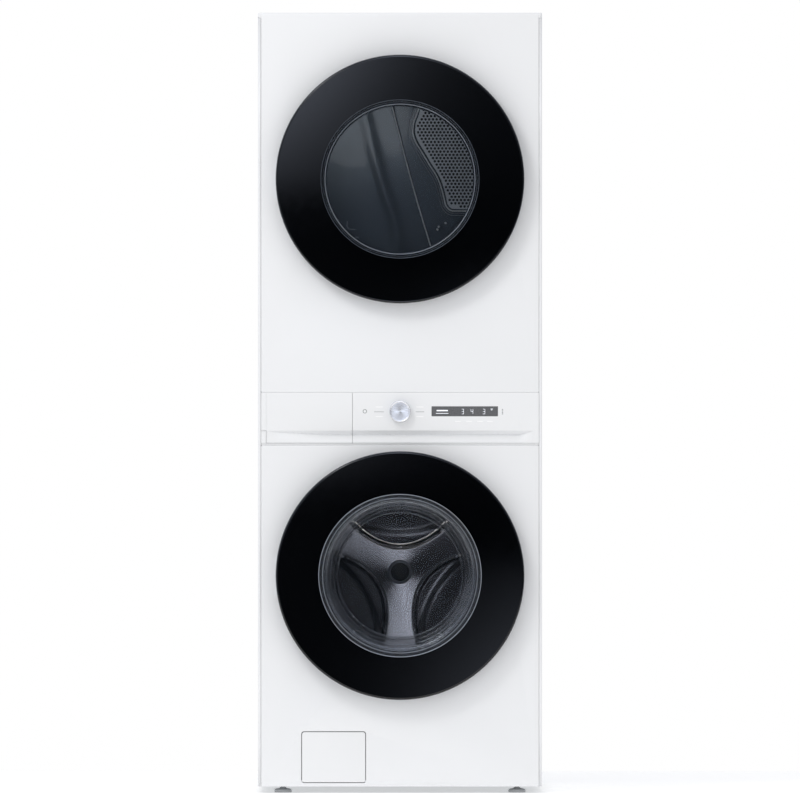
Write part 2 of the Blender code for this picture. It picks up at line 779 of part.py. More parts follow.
def make_drawer():
    left, right = -FACE_HALF, DRAWER_RIGHT_EDGE - PANEL_GAP / 2
    low = CONTROL_BOTTOM + GRIP_SILL
    front = control_slab("drawer_front", left, right)
    under = block(
        "drawer_under",
        (left - 0.01, right + 0.01),
        span(0.02, -2 * RAIL_DEPTH),
        (CONTROL_BOTTOM - 0.01, low + PANEL_GAP / 2),
    )
    end = block(
        "drawer_grip_end",
        (left - 0.01, -HALF_WIDTH + GRIP_END + PANEL_GAP / 2),
        span(0.02, -2 * RAIL_DEPTH),
        (CONTROL_BOTTOM - 0.01, low + GRIP_HEIGHT + PANEL_GAP / 2),
    )
    cut(front, under, end)

    shell_x = (left + HOUSING_INSET, right - HOUSING_INSET / 2)
    shell_z = (low + PANEL_GAP, CONTROL_TOP - 2 * FACE_WALL)
    start = RAIL_DEPTH + HOUSING_CLEARANCE
    tray(
        "dispenser_housing",
        shell_x,
        span(-start, -start - DRAWER_TRAVEL_ROOM),
        shell_z,
        (0, -1, 0),
        DRAWER_WALL,
        "tub_plastic",
    )
    step = DRAWER_WALL + HOUSING_CLEARANCE
    box_x = (shell_x[0] + step, shell_x[1] - step)
    box_z = (shell_z[0] + step, shell_z[0] + step + DRAWER_HEIGHT)
    box_y = span(-RAIL_DEPTH - SEAT_GAP, -start - DRAWER_TRAVEL_ROOM + 2 * step)
    box = tray("drawer_tray", box_x, box_y, box_z, (0, 0, 1), DRAWER_WALL, "white_plastic")
    for i, share in enumerate(DIVIDERS):
        x = box_x[0] + share * (box_x[1] - box_x[0])
        wall = block(
            f"drawer_divider_{i}",
            (x, x + DRAWER_WALL),
            (box_y[0] + DRAWER_WALL / 2, box_y[1] - DRAWER_WALL / 2),
            (box_z[0] + DRAWER_WALL / 2, box_z[1] - 2 * HOUSING_CLEARANCE),
        )
        join(box, wall)
    hang(body("drawer", (sum(box_x) / 2, FRONT_Y, CONTROL_BOTTOM)), front, box)


# ---- doors -----------------------------------------------------------------------------------
def hinge_bracket(name, axis_z):
    """A plate on the front panel with two ears and the pin they hold."""
    high = HINGE_HALF_HEIGHT
    plate = block(
        name,
        (HINGE_X - KNUCKLE_RADIUS, HINGE_X + 0.032),
        span(SEAT_GAP, HINGE_PLATE),
        (axis_z - high, axis_z + high),
        "steel",
    )
    for end, sign in (("top", 1), ("bottom", -1)):
        far, near = axis_z + sign * high, axis_z + sign * (high - EAR_HEIGHT)
        ear_z = (min(far, near), max(far, near))
        ear = block(
            f"{name}_ear_{end}",
            (HINGE_X - KNUCKLE_RADIUS, HINGE_X + KNUCKLE_RADIUS),
            span(HINGE_PLATE / 2, HINGE_PROUD + KNUCKLE_RADIUS),
            ear_z,
        )
        join(plate, ear)
    pin_place = standing(HINGE_X, proud(HINGE_PROUD), axis_z)
    return join(plate, rod(name + "_pin", PIN_RADIUS, -high + 0.001, high - 0.001, pin_place))


def hinge_arm(name, axis_z):
    """The knuckle between the ears and the arm that carries the door."""
    high = HINGE_HALF_HEIGHT - EAR_HEIGHT - EAR_GAP
    place = standing(HINGE_X, proud(HINGE_PROUD), axis_z)
    knuckle = rod(name, KNUCKLE_RADIUS, -high, high, place, "steel")
    rear = HINGE_PLATE + 0.002
    web = block(
        name + "_web",
        (HINGE_X - KNUCKLE_RADIUS + 0.001, HINGE_X + KNUCKLE_RADIUS - 0.001),
        span(rear, HINGE_PROUD),
        (axis_z - high + 0.001, axis_z + high - 0.001),
    )
    arm = block(
        name + "_plate",
        (HINGE_X, HINGE_X + HINGE_ARM_REACH),
        span(rear, DOOR_BACK_GAP - SEAT_GAP),
        (axis_z - high + 0.001, axis_z + high - 0.001),
    )
    join(knuckle, web, arm)
    bore = rod(name + "_bore", PIN_RADIUS + PIN_CLEARANCE, -high - 0.01, high + 0.01, place)
    return cut(knuckle, bore)


def door_frame(name, axis_z):
    """The moulded ring behind the pane, with its hook and the notch that the hinge turns in."""
    back, front = DOOR_BACK_GAP, DOOR_PROUD
    seat = front - PANE_THICKNESS - SEAT_GAP
    inner = WINDOW_RADIUS + 0.004
    rim, shoulder = DOOR_RADIUS - 2 * FRAME_WALL, DOOR_RADIUS - DOOR_EDGE_TAPER
    outline = [
        (DOOR_RADIUS - PANE_RIM, front - 0.0005),
        (DOOR_RADIUS, front - 0.003),
        (DOOR_RADIUS, front - 0.012),
        (shoulder, back),
        (inner, back),
        (inner, back + FRAME_WALL),
        (shoulder - FRAME_WALL, back + FRAME_WALL),
        (rim, front - 0.013),
        (rim, seat),
        (DOOR_RADIUS - PANE_RIM, seat),
    ]
    place = facing_front(0, axis_z)
    frame = turned(name, outline, place, "door_trim")
    hook_x = OPENING_RADIUS + (DOOR_RADIUS - OPENING_RADIUS) / 2
    hook_z = (axis_z - HOOK_SIZE[1] / 2, axis_z + HOOK_SIZE[1] / 2)
    half = HOOK_SIZE[0] / 2
    stem = block(
        name + "_hook", (hook_x - half, hook_x + half / 4), span(back + 0.001, -HOOK_REACH), hook_z
    )
    barb = block(
        name + "_barb",
        (hook_x - half, hook_x + half),
        span(-HOOK_REACH + 0.006, -HOOK_REACH),
        hook_z,
    )
    notch_high = HINGE_HALF_HEIGHT + 0.004
    notch = block(
        name + "_hinge_notch",
        (-DOOR_RADIUS - 0.01, HINGE_X + KNUCKLE_RADIUS + 0.003),
        span(0, HINGE_PROUD + KNUCKLE_RADIUS + 0.006),
        (axis_z - notch_high, axis_z + notch_high),
    )
    join(frame, stem, barb)
    return cut(frame, notch)


def door_pane(name, axis_z):
    radius = DOOR_RADIUS - PANE_RIM - SEAT_GAP
    rear, front = DOOR_PROUD - PANE_THICKNESS, DOOR_PROUD
    outline = [(0, front), (radius - 0.002, front), (radius, front - 0.002), (radius, rear), (0, rear)]
    return turned(name, outline, facing_front(0, axis_z), "black_glass")


def bowl_outline():
    """The washer door's glass: a flange, a cone into the drum's mouth and a slightly domed end."""
    lip = DOOR_PROUD - PANE_THICKNESS - 0.006
    top = WINDOW_RADIUS - 0.004
    wall = BOWL_WALL
    return [
        (0, -BOWL_DEPTH - BOWL_CROWN + wall),
        (BOWL_END_RADIUS - wall, -BOWL_DEPTH + wall),
        (top - wall, lip),
        (WINDOW_RADIUS + 0.001, lip),
        (WINDOW_RADIUS + 0.001, lip - wall),
        (top, lip - wall),
        (BOWL_END_RADIUS, -BOWL_DEPTH),
        (0, -BOWL_DEPTH - BOWL_CROWN),
    ]


def dryer_glass_outline():
    """The dryer door's inner glass: a shallow flat-bottomed dish."""
    lip = DOOR_PROUD - PANE_THICKNESS - 0.006
    radius = WINDOW_RADIUS - 0.006
    wall = BOWL_WALL
    return [
        (0, -DRYER_GLASS_DEPTH + wall),
        (radius - wall - 0.010, -DRYER_GLASS_DEPTH + wall),
        (radius - wall, lip),
        (WINDOW_RADIUS + 0.001, lip),
        (WINDOW_RADIUS + 0.001, lip - wall),
        (radius, lip - wall),
        (radius - 0.010, -DRYER_GLASS_DEPTH),
        (0, -DRYER_GLASS_DEPTH),
    ]


def make_door(machine, axis_z, glass_outline):
    hinge_bracket(f"{machine}_hinge_bracket", axis_z)
    pieces = [
        door_frame(f"{machine}_door_frame", axis_z),
        door_pane(f"{machine}_door_pane", axis_z),
        turned(f"{machine}_door_glass", glass_outline, facing_front(0, axis_z), "clear_glass"),
        hinge_arm(f"{machine}_hinge_arm", axis_z),
    ]
    hook_x = OPENING_RADIUS + (DOOR_RADIUS - OPENING_RADIUS) / 2
    room = HOOK_ROOM + LOCK_WALL
    tray(
        f"{machine}_door_lock",
        (hook_x - HOOK_SIZE[0] / 2 - room, hook_x + HOOK_SIZE[0] / 2 + room),
        span(-FRONT_FLANGE + 0.003, -HOOK_REACH - room),
        (axis_z - HOOK_SIZE[1] / 2 - room, axis_z + HOOK_SIZE[1] / 2 + room),
        (0, -1, 0),
        LOCK_WALL,
        "dark_plastic",
    )
    hang(body(f"{machine}_door", (HINGE_X, proud(HINGE_PROUD), axis_z)), *pieces)


# ---- washer mechanism ------------------------------------------------------------------------
def make_gasket():
    """The folded rubber boot from the front panel's lip to the tub's neck."""
    wall = GASKET_WALL
    lip = bowl_radius_at(0.024) + GASKET_LIP_GAP
    outer = OPENING_RADIUS - SEAT_GAP
    neck = tub_neck_radius() - TUB_WALL - SEAT_GAP
    centre = [
        (outer - wall / 2, -0.001),
        (outer - wall / 2, -0.010),
        (lip + wall / 2, -0.024),
        (neck - 0.006, -0.040),
        (neck - 0.012, -0.058),
        (neck - wall / 2, -0.071),
        (neck - wall / 2, -0.086),
    ]
    half = wall / 2
    side = [Vector(p) for p in centre]
    normals = []
    for i in range(len(side)):
        along = side[min(i + 1, len(side) - 1)] - side[max(i - 1, 0)]
        normals.append(Vector((along.y, -along.x)).normalized())
    outward = [tuple(p + n * half) for p, n in zip(side, normals)]
    inward = [tuple(p - n * half) for p, n in zip(side, normals)]
    turned(
        "door_gasket", outward + inward[::-1], facing_front(0, WASHER_AXIS_Z), "grey_rubber"
    )


def bowl_radius_at(depth):
    """Outer radius of the washer door's glass at a depth behind the front panel."""
    lip = DOOR_PROUD - PANE_THICKNESS - 0.006 - BOWL_WALL
    top = WINDOW_RADIUS - 0.004
    share = (depth + lip) / (BOWL_DEPTH - BOWL_WALL + lip)
    return top + (BOWL_END_RADIUS - top) * share


def tub_neck_radius():
    return OPENING_RADIUS - 0.002


def make_tub():
    place = facing_front(0, WASHER_AXIS_Z)
    wall, radius, neck = TUB_WALL, TUB_RADIUS, tub_neck_radius()
    neck_front = TUB_FRONT - TUB_NECK
    front = turned(
        "tub_front",
        [
            (neck - wall, -neck_front),
            (neck, -neck_front),
            (neck, -TUB_FRONT),
            (radius, -TUB_FRONT),
            (radius, -TUB_SPLIT + SEAT_GAP),
            (radius - wall, -TUB_SPLIT + SEAT_GAP),
            (radius - wall, -TUB_FRONT - wall),
            (neck - wall, -TUB_FRONT - wall),
        ],
        place,
        "tub_plastic",
    )
    bore = SHAFT_RADIUS + SHAFT_CLEARANCE
    rear = turned(
        "tub_rear",
        [
            (radius - wall, -TUB_SPLIT),
            (radius, -TUB_SPLIT),
            (radius, -TUB_BACK),
            (BEARING_RADIUS, -TUB_BACK),
            (BEARING_RADIUS, -TUB_BACK - BEARING_LENGTH),
            (bore, -TUB_BACK - BEARING_LENGTH),
            (bore, -TUB_BACK + wall),
            (radius - wall, -TUB_BACK + wall),
        ],
        place,
        "tub_plastic",
    )
    lug_z = WASHER_AXIS_Z + SPRING_LUG_HEIGHT
    lug_y = spring_y()
    for side, sign in (("left", -1), ("right", 1)):
        far, near = sign * (spring_x() + SPRING_LUG), sign * (TUB_RADIUS - 2 * SPRING_LUG)
        lug = block(
            f"spring_lug_{side}",
            (min(far, near), max(far, near)),
            (lug_y - SPRING_LUG, lug_y + SPRING_LUG),
            (lug_z - SPRING_LUG, lug_z),
        )
        rod_place = standing(sign * DAMPER_OFFSET, spring_y(), 0)
        floor_z, head_z = damper_span()
        low = floor_z + 0.4 * (head_z - floor_z)
        join(rear, lug, rod(f"damper_rod_{side}", DAMPER_ROD_RADIUS, low, head_z, rod_place))
    start, turn = math.radians(270 - WEIGHT_HALF_ANGLE), math.radians(2 * WEIGHT_HALF_ANGLE)
    outline = circle(radius - 0.004, 18, start=start, turn=turn)
    outline += circle(neck + 0.012, 14, start=start, turn=turn)[::-1]
    high = -TUB_FRONT + SEAT_GAP
    weight = prism(
        "counterweight", outline, high, high + WEIGHT_THICKNESS, place, "concrete"
    )
    stator_outer = ROTOR_RADIUS - ROTOR_WALL - STATOR_GAP
    stator = ring(
        "motor_stator",
        STATOR_BORE,
        stator_outer,
        -TUB_BACK - BEARING_LENGTH - ROTOR_LENGTH / 2,
        -TUB_BACK - SEAT_GAP,
        place,
        "steel",
    )
    hang(body("tub", (0, proud(-TUB_SPLIT), WASHER_AXIS_Z)), front, rear, weight, stator)


def lifter(name, radius, height, low, high, angle, axis_z):
    """A hollow tapered vane on one of the flats of a drum's wall, along the drum's axis."""
    root, tip = LIFTER_WIDTH / 2, LIFTER_WIDTH / 5
    half_facet = math.pi / LARGE_ROUND
    seat = radius * math.cos(half_facet) - DRUM_SHEET / 2
    top, wall = radius - height, LIFTER_WALL
    slant = 1.2 * wall
    outer = [(seat, -root), (seat, root), (top, tip), (top, -tip)]
    inner = [
        (seat - wall, slant - root),
        (seat - wall, root - slant),
        (top + wall, tip - wall),
        (top + wall, wall - tip),
    ]
    place = facing_front(0, axis_z) @ Matrix.Rotation(angle + half_facet, 4, "Z")
    return pierced(name, [outer, inner], -high, -low, place)


def make_washer_drum():
    place = facing_front(0, WASHER_AXIS_Z)
    radius, sheet = DRUM_RADIUS, DRUM_SHEET
    lip = 0.006
    wrapper = turned(
        "washer_drum_wrapper",
        [
            (MOUTH_RADIUS, -DRUM_FRONT + lip),
            (MOUTH_RADIUS + sheet, -DRUM_FRONT + lip),
            (MOUTH_RADIUS + sheet, -DRUM_FRONT),
            (radius - 0.010, -DRUM_FRONT),
            (radius, -DRUM_FRONT - 0.010),
            (radius, -DRUM_BACK + SEAT_GAP),
            (radius - sheet, -DRUM_BACK + SEAT_GAP),
            (radius - sheet, -DRUM_FRONT - 0.010),
            (radius - 0.010, -DRUM_FRONT - sheet),
            (MOUTH_RADIUS, -DRUM_FRONT - sheet),
        ],
        place,
        "stainless",
    )
    ends = (DRUM_FRONT + LIFTER_END_GAP, DRUM_BACK - LIFTER_END_GAP)
    for i in range(3):
        vane = lifter(
            f"washer_lifter_{i}",
            radius,
            LIFTER_HEIGHT,
            *ends,
            math.radians(30 + 120 * i),
            WASHER_AXIS_Z,
        )
        join(wrapper, vane)
    step = DRUM_BACK_THICKNESS
    back = turned(
        "washer_drum_back",
        [
            (0, -DRUM_BACK + 0.012),
            (0.026, -DRUM_BACK + 0.012),
            (0.034, -DRUM_BACK),
            (0.110, -DRUM_BACK - step * 0.4),
            (radius - 0.020, -DRUM_BACK - step * 0.4),
            (radius - 0.001, -DRUM_BACK),
            (radius - 0.001, -DRUM_BACK - 0.003),
            (radius - 0.020, -DRUM_BACK - step * 0.4 - 0.004),
            (0.110, -DRUM_BACK - step * 0.4 - 0.004),
            (0.060, -DRUM_BACK - step),
            (0, -DRUM_BACK - step),
        ],
        place,
        "stainless",
    )
    cup_front = TUB_BACK + BEARING_LENGTH / 2
    cup_back = TUB_BACK + BEARING_LENGTH + ROTOR_LENGTH
    rotor = turned(
        "motor_rotor",
        [
            (0, -DRUM_BACK - step - SEAT_GAP),
            (SHAFT_RADIUS, -DRUM_BACK - step - SEAT_GAP),
            (SHAFT_RADIUS, -cup_back + ROTOR_WALL),
            (ROTOR_RADIUS - ROTOR_WALL, -cup_back + ROTOR_WALL),
            (ROTOR_RADIUS - ROTOR_WALL, -cup_front),
            (ROTOR_RADIUS, -cup_front),
            (ROTOR_RADIUS, -cup_back),
            (0, -cup_back),
        ],
        place,
        "steel",
    )
    hang(body("washer_drum", (0, proud(-DRUM_FRONT), WASHER_AXIS_Z)), wrapper, back, rotor)


def spring_x():
    return HALF_WIDTH - SHEET - SPRING_SIDE_GAP - SPRING_RADIUS


def spring_y():
    return proud(-(TUB_SPLIT + TUB_BACK) / 2)


def helix(name, place, radius, wire, low, high, turns, finish):
    """A coil spring with straight hook legs on its axis at both ends."""
    per_turn = 7
    curve = bpy.data.curves.new(name, "CURVE")
    curve.dimensions = "3D"
    curve.bevel_depth = wire
    curve.bevel_resolution = 0
    curve.use_fill_caps = True
    spline = curve.splines.new("POLY")
    leg = 0.012
    rise = high - low - 2 * leg
    points = [(0, 0, low), (0, 0, low + leg / 2)]
    for i in range(turns * per_turn + 1):
        angle = 2 * math.pi * i / per_turn
        height = low + leg + rise * i / (turns * per_turn)
        points.append((radius * math.cos(angle), radius * math.sin(angle), height))
    points += [(0, 0, high - leg / 2), (0, 0, high)]
    spline.points.add(len(points) - 1)
    for point, co in zip(spline.points, points):
        point.co = (*co, 1)
    made = bpy.data.objects.new(name, curve)
    made.matrix_world = place
    curve.materials.append(material(finish))
    PARTS.objects.link(made)
    return made


def damper_span():
    """Where a damper starts on the base pan and where its rod ends in the tub's wall."""
    drop = math.sqrt(TUB_RADIUS**2 - DAMPER_OFFSET**2)
    return FOOT_HEIGHT + BASE_SHEET + SEAT_GAP, WASHER_AXIS_Z - drop + TUB_WALL


def make_suspension():
    lug_z = WASHER_AXIS_Z + SPRING_LUG_HEIGHT
    floor_z, head_z = damper_span()
    top = floor_z + DAMPER_TOP_SHARE * (head_z - floor_z)
    bore = DAMPER_ROD_RADIUS + DAMPER_ROD_CLEARANCE
    for side, sign in (("left", -1), ("right", 1)):
        helix(
            f"suspension_spring_{side}",
            standing(sign * spring_x(), spring_y(), 0),
            SPRING_RADIUS,
            SPRING_WIRE,
            lug_z + SEAT_GAP,
            WASHER_TOP + CROSSBAR_RISE - SEAT_GAP,
            SPRING_TURNS,
            "steel",
        )
        turned(
            f"damper_{side}",
            [
                (0, floor_z + PUMP_WALL),
                (bore, floor_z + PUMP_WALL),
                (bore, top),
                (DAMPER_RADIUS, top),
                (DAMPER_RADIUS, floor_z),
                (0, floor_z),
            ],
            standing(sign * DAMPER_OFFSET, spring_y(), 0),
            "dark_plastic",
            SMALL_ROUND,
        )


def pump_reach(grow):
    """The pump's pocket across and up, larger by grow all round than the hatch's opening."""
    low = FOOT_HEIGHT + HATCH_BOTTOM
    across = (HATCH_LEFT - HATCH_GAP - grow, HATCH_LEFT + HATCH_WIDTH + HATCH_GAP + grow)
    return across, (low - HATCH_GAP - grow, low + HATCH_HEIGHT + HATCH_GAP + grow)


def make_pump():
    """The drain pump behind the hatch: a pocket, the filter's socket and the screwed filter."""
    outer_x, outer_z = pump_reach(POCKET_WALL)
    pocket = tray(
        "drain_pump",
        outer_x,
        span(-SHEET - SEAT_GAP, -POCKET_DEPTH),
        outer_z,
        (0, -1, 0),
        POCKET_WALL,
        "tub_plastic",
    )
    x, z = sum(outer_x) / 2, sum(outer_z) / 2 + 0.004
    place = facing_front(x, z)
    bore = FILTER_RADIUS / math.cos(math.pi / SMALL_ROUND) + PANEL_GAP
    socket_back = POCKET_DEPTH + FILTER_LENGTH
    socket = turned(
        "pump_socket",
        [
            (0, -POCKET_DEPTH + POCKET_WALL / 2),
            (bore + PUMP_WALL, -POCKET_DEPTH + POCKET_WALL / 2),
            (bore + PUMP_WALL, -socket_back),
            (0, -socket_back),
        ],
        place,
        facets=SMALL_ROUND,
    )
    join(pocket, socket)
    cut(pocket, rod("pump_bore", bore, -socket_back + PUMP_WALL, 0.01, place))
    axis = hatch_axis()
    pins = rod(
        "hatch_pin_holes",
        HATCH_PIN_RADIUS + SEAT_GAP,
        outer_x[0] - POCKET_WALL,
        outer_x[1] + POCKET_WALL,
        Matrix.Translation((0, axis.y, axis.z)) @ Matrix.Rotation(math.radians(90), 4, "Y"),
        facets=12,
    )
    cut(pocket, pins)

    grip = FILTER_GRIP
    face = -POCKET_DEPTH + 0.010
    plug = turned(
        "pump_filter",
        [
            (0, face),
            (FILTER_RADIUS - 0.002, face),
            (FILTER_RADIUS, face - 0.002),
            (FILTER_RADIUS, -socket_back + PUMP_WALL + 0.020),
            (0, -socket_back + PUMP_WALL + 0.020),
        ],
        place,
        "dark_plastic",
        SMALL_ROUND,
    )
    handle = block(
        "pump_filter_grip",
        (x - grip[0] / 2, x + grip[0] / 2),
        span(face + grip[2], face - 0.002),
        (z - grip[1] / 2, z + grip[1] / 2),
    )
    join(plug, handle)
    hang(body("filter", (x, proud(face), z)), plug)


def hatch_axis():
    z = FOOT_HEIGHT + HATCH_BOTTOM + HATCH_AXIS_INSET
    return Vector((HATCH_LEFT + HATCH_WIDTH / 2, proud(-HATCH_AXIS_INSET), z))


def make_hatch():
    low = FOOT_HEIGHT + HATCH_BOTTOM
    plate = block(
        "filter_hatch",
        (HATCH_LEFT, HATCH_LEFT + HATCH_WIDTH),
        span(0, -HATCH_THICKNESS),
        (low, low + HATCH_HEIGHT),
        "white_plastic",
    )
    axis = hatch_axis()
    barrel = rod(
        "hatch_barrel",
        HATCH_PIN_RADIUS,
        HATCH_LEFT - HATCH_GAP - POCKET_WALL * 0.9,
        HATCH_LEFT + HATCH_WIDTH + HATCH_GAP + POCKET_WALL * 0.9,
        Matrix.Translation((0, axis.y, axis.z)) @ Matrix.Rotation(math.radians(90), 4, "Y"),
        facets=12,
    )
    join(plate, barrel)
    hang(body("hatch", axis), plate)


def spigot(start, radius):
    """A stub that stands out of the back, bored for most of its length."""
    end, bore = -CABINET_DEPTH - INLET_PROUD, radius - SPIGOT_WALL
    return [
        (0, start),
        (radius, start),
        (radius, end),
        (bore, end),
        (bore, -CABINET_DEPTH),
        (0, -CABINET_DEPTH),
    ]


def make_water_inlets():
    z = FOOT_HEIGHT + INLET_HEIGHT
    rear = BACK_Y - 2 * SHEET - 2 * SEAT_GAP
    block_x = (-INLET_BLOCK[0] / 2, INLET_BLOCK[0] / 2)
    valve = block(
        "water_inlet_valve",
        block_x,
        (rear - INLET_BLOCK[1], rear),
        (z - INLET_BLOCK[2] / 2, z + INLET_BLOCK[2] / 2),
        "tub_plastic",
    )
    outline = spigot(-CABINET_DEPTH + 0.010, INLET_RADIUS)
    for name, x in (("hot", -INLET_SPACING / 2), ("cold", INLET_SPACING / 2)):
        join(valve, turned(f"{name}_stub", outline, facing_front(x, z), facets=SMALL_ROUND))


# ---- dryer mechanism -------------------------------------------------------------------------
def roller_place(sign):
    reach = DRYER_DRUM_RADIUS + SEAT_GAP + ROLLER_RADIUS
    angle = math.radians(ROLLER_ANGLE)
    return sign * reach * math.sin(angle), DRYER_AXIS_Z - reach * math.cos(angle)


def make_dryer_drum():
    place = facing_front(0, DRYER_AXIS_Z)
    radius, sheet = DRYER_DRUM_RADIUS, DRUM_SHEET
    drum = ring(
        "dryer_drum", radius - sheet, radius, -DRYER_DRUM_BACK, -DRYER_DRUM_FRONT, place, "drum_enamel"
    )
    low, high = DRYER_DRUM_FRONT + LIFTER_END_GAP, DRYER_DRUM_BACK - LIFTER_END_GAP
    for i in range(3):
        angle = math.radians(90 + 120 * i)
        vane = lifter(
            f"dryer_lifter_{i}", radius, DRYER_LIFTER_HEIGHT, low, high, angle, DRYER_AXIS_Z
        )
        join(drum, vane)
    hang(body("dryer_drum_axis", (0, proud(-DRYER_DRUM_FRONT), DRYER_AXIS_Z)), drum)


def make_bulkheads():
    inner = HALF_WIDTH - SHEET - 2 * PANEL_GAP
    place = facing_front(0, 0)
    low_z = roller_place(1)[1] - BULKHEAD_DROP
    high_z = TOP - COVER_FLANGE - 3 * SHEET
    outline = rectangle((-inner, inner), (low_z, high_z))
    face = -DRYER_DRUM_BACK - 2 * PANEL_GAP
    rear = prism(
        "rear_bulkhead", outline, face - BULKHEAD_SHEET, face, place, "drum_enamel"
    )
    left, right, height = HEATER_BOX
    heater = tray(
        "heater_box",
        (left, right),
        span(face - BULKHEAD_SHEET / 2, face - BULKHEAD_SHEET - HEATER_DEPTH),
        (DRYER_AXIS_Z - height / 2, DRYER_AXIS_Z + height / 2),
        (0, -1, 0),
        BASE_SHEET,
    )
    grille = block(
        "heater_grille",
        (left + 4 * BASE_SHEET, right - 4 * BASE_SHEET),
        span(face + 0.01, face - BULKHEAD_SHEET - 0.01),
        (DRYER_AXIS_Z + 4 * BASE_SHEET, DRYER_AXIS_Z + height / 2 - 4 * BASE_SHEET),
    )
    join(rear, heater)
    cut(rear, grille)
    roller_front = -DRYER_DRUM_BACK + LIFTER_END_GAP
    for side, sign in (("left", -1), ("right", 1)):
        x, z = roller_place(sign)
        axle = rod(
            f"roller_axle_{side}",
            ROLLER_AXLE_RADIUS,
            face - BULKHEAD_SHEET / 2,
            roller_front + 0.004,
            facing_front(x, z),
            facets=SMALL_ROUND,
        )
        join(rear, axle)
        wheel = ring(
            f"drum_roller_{side}",
            ROLLER_AXLE_RADIUS + ROLLER_CLEARANCE,
            ROLLER_RADIUS,
            roller_front - ROLLER_WIDTH,
            roller_front,
            facing_front(x, z),
            "grey_rubber",
            SMALL_ROUND,
        )
        hang(body(f"roller_{side}", (x, proud(roller_front), z)), wheel)

    make_front_bulkhead(rectangle((-inner, inner), (low_z, high_z)))


def make_front_bulkhead(outline):
    """The plate behind the dryer's door: a throat to the door, a collar the drum turns round."""
    sheet, setback = BULKHEAD_SHEET, FRONT_BULKHEAD_SETBACK
    collar = min(COLLAR_RADIUS, DRYER_DRUM_RADIUS - 4 * DRUM_SHEET)
    throat = OPENING_RADIUS - SEAT_GAP
    place = facing_front(0, DRYER_AXIS_Z)
    mouth = circle(collar + sheet, LARGE_ROUND, (0, DRYER_AXIS_Z))
    plate = pierced(
        "front_bulkhead",
        [outline, mouth],
        -setback - 0.75 * sheet,
        -setback - 0.25 * sheet,
        facing_front(0, 0),
        "drum_enamel",
    )
    rings = turned(
        "front_rings",
        [
            (throat - sheet, -SHEET / 2),
            (throat, -SHEET / 2),
            (throat, -setback),
            (collar + 2 * sheet, -setback),
            (collar + 2 * sheet, -setback - sheet),
            (collar, -setback - sheet),
            (collar, -setback - sheet - COLLAR_LENGTH),
            (collar - sheet, -setback - sheet - COLLAR_LENGTH),
            (collar - sheet, -setback - sheet),
            (throat - sheet, -setback - sheet),
        ],
        place,
    )
    join(plate, rings)

    width, thick, tall = LINT_FILTER
    gap = LINT_FILTER_GAP
    back = -setback + 2 * gap
    top_z = DRYER_AXIS_Z - OPENING_RADIUS + LINT_LIP
    slot = block(
        "lint_slot",
        (-width / 2 - gap, width / 2 + gap),
        span(back - gap, back + thick + gap),
        (top_z - tall, top_z + 0.030),
    )
    cut(plate, slot)
    screen = block(
        "lint_filter",
        (-width / 2, width / 2),
        span(back, back + thick),
        (top_z - tall, top_z),
        "dark_plastic",
    )
    hang(body("lint_screen", (0, proud(back + thick / 2), top_z)), screen)

    side, wall = width / 2 + gap + BASE_SHEET, BASE_SHEET
    eye = BLOWER_RADIUS * 0.6
    low, far = MACHINE_Z - eye - 0.010, MOTOR_X - eye - 0.010
    shoulder = top_z - tall - gap
    chute = prism(
        "lint_chute",
        [
            (side, top_z + 0.020),
            (-side, top_z + 0.020),
            (-side, shoulder),
            (far, MACHINE_Z + eye + 0.010),
            (far, low),
            (MOTOR_X + eye, low),
            (side, shoulder),
        ],
        back - gap - wall,
        back + thick + gap + wall,
        facing_front(0, 0),
        "galvanised",
    )
    hollow(chute, (0, 0, 1), wall)
    rear = back - gap - wall
    eye_place = facing_front(MOTOR_X, MACHINE_Z)
    blower_face = -BLOWER_FRONT + BLOWER_GAP + BLOWER_WALL
    join(
        chute,
        ring("chute_collar", eye, eye + wall, blower_face + SEAT_GAP, rear + wall / 2, eye_place),
    )
    cut(
        chute,
        rod("chute_eye", eye + wall / 4, rear - wall / 2, rear + 2 * wall, eye_place),
        rod("chute_throat", OPENING_RADIUS, -setback, 0, place, facets=LARGE_ROUND),
    )


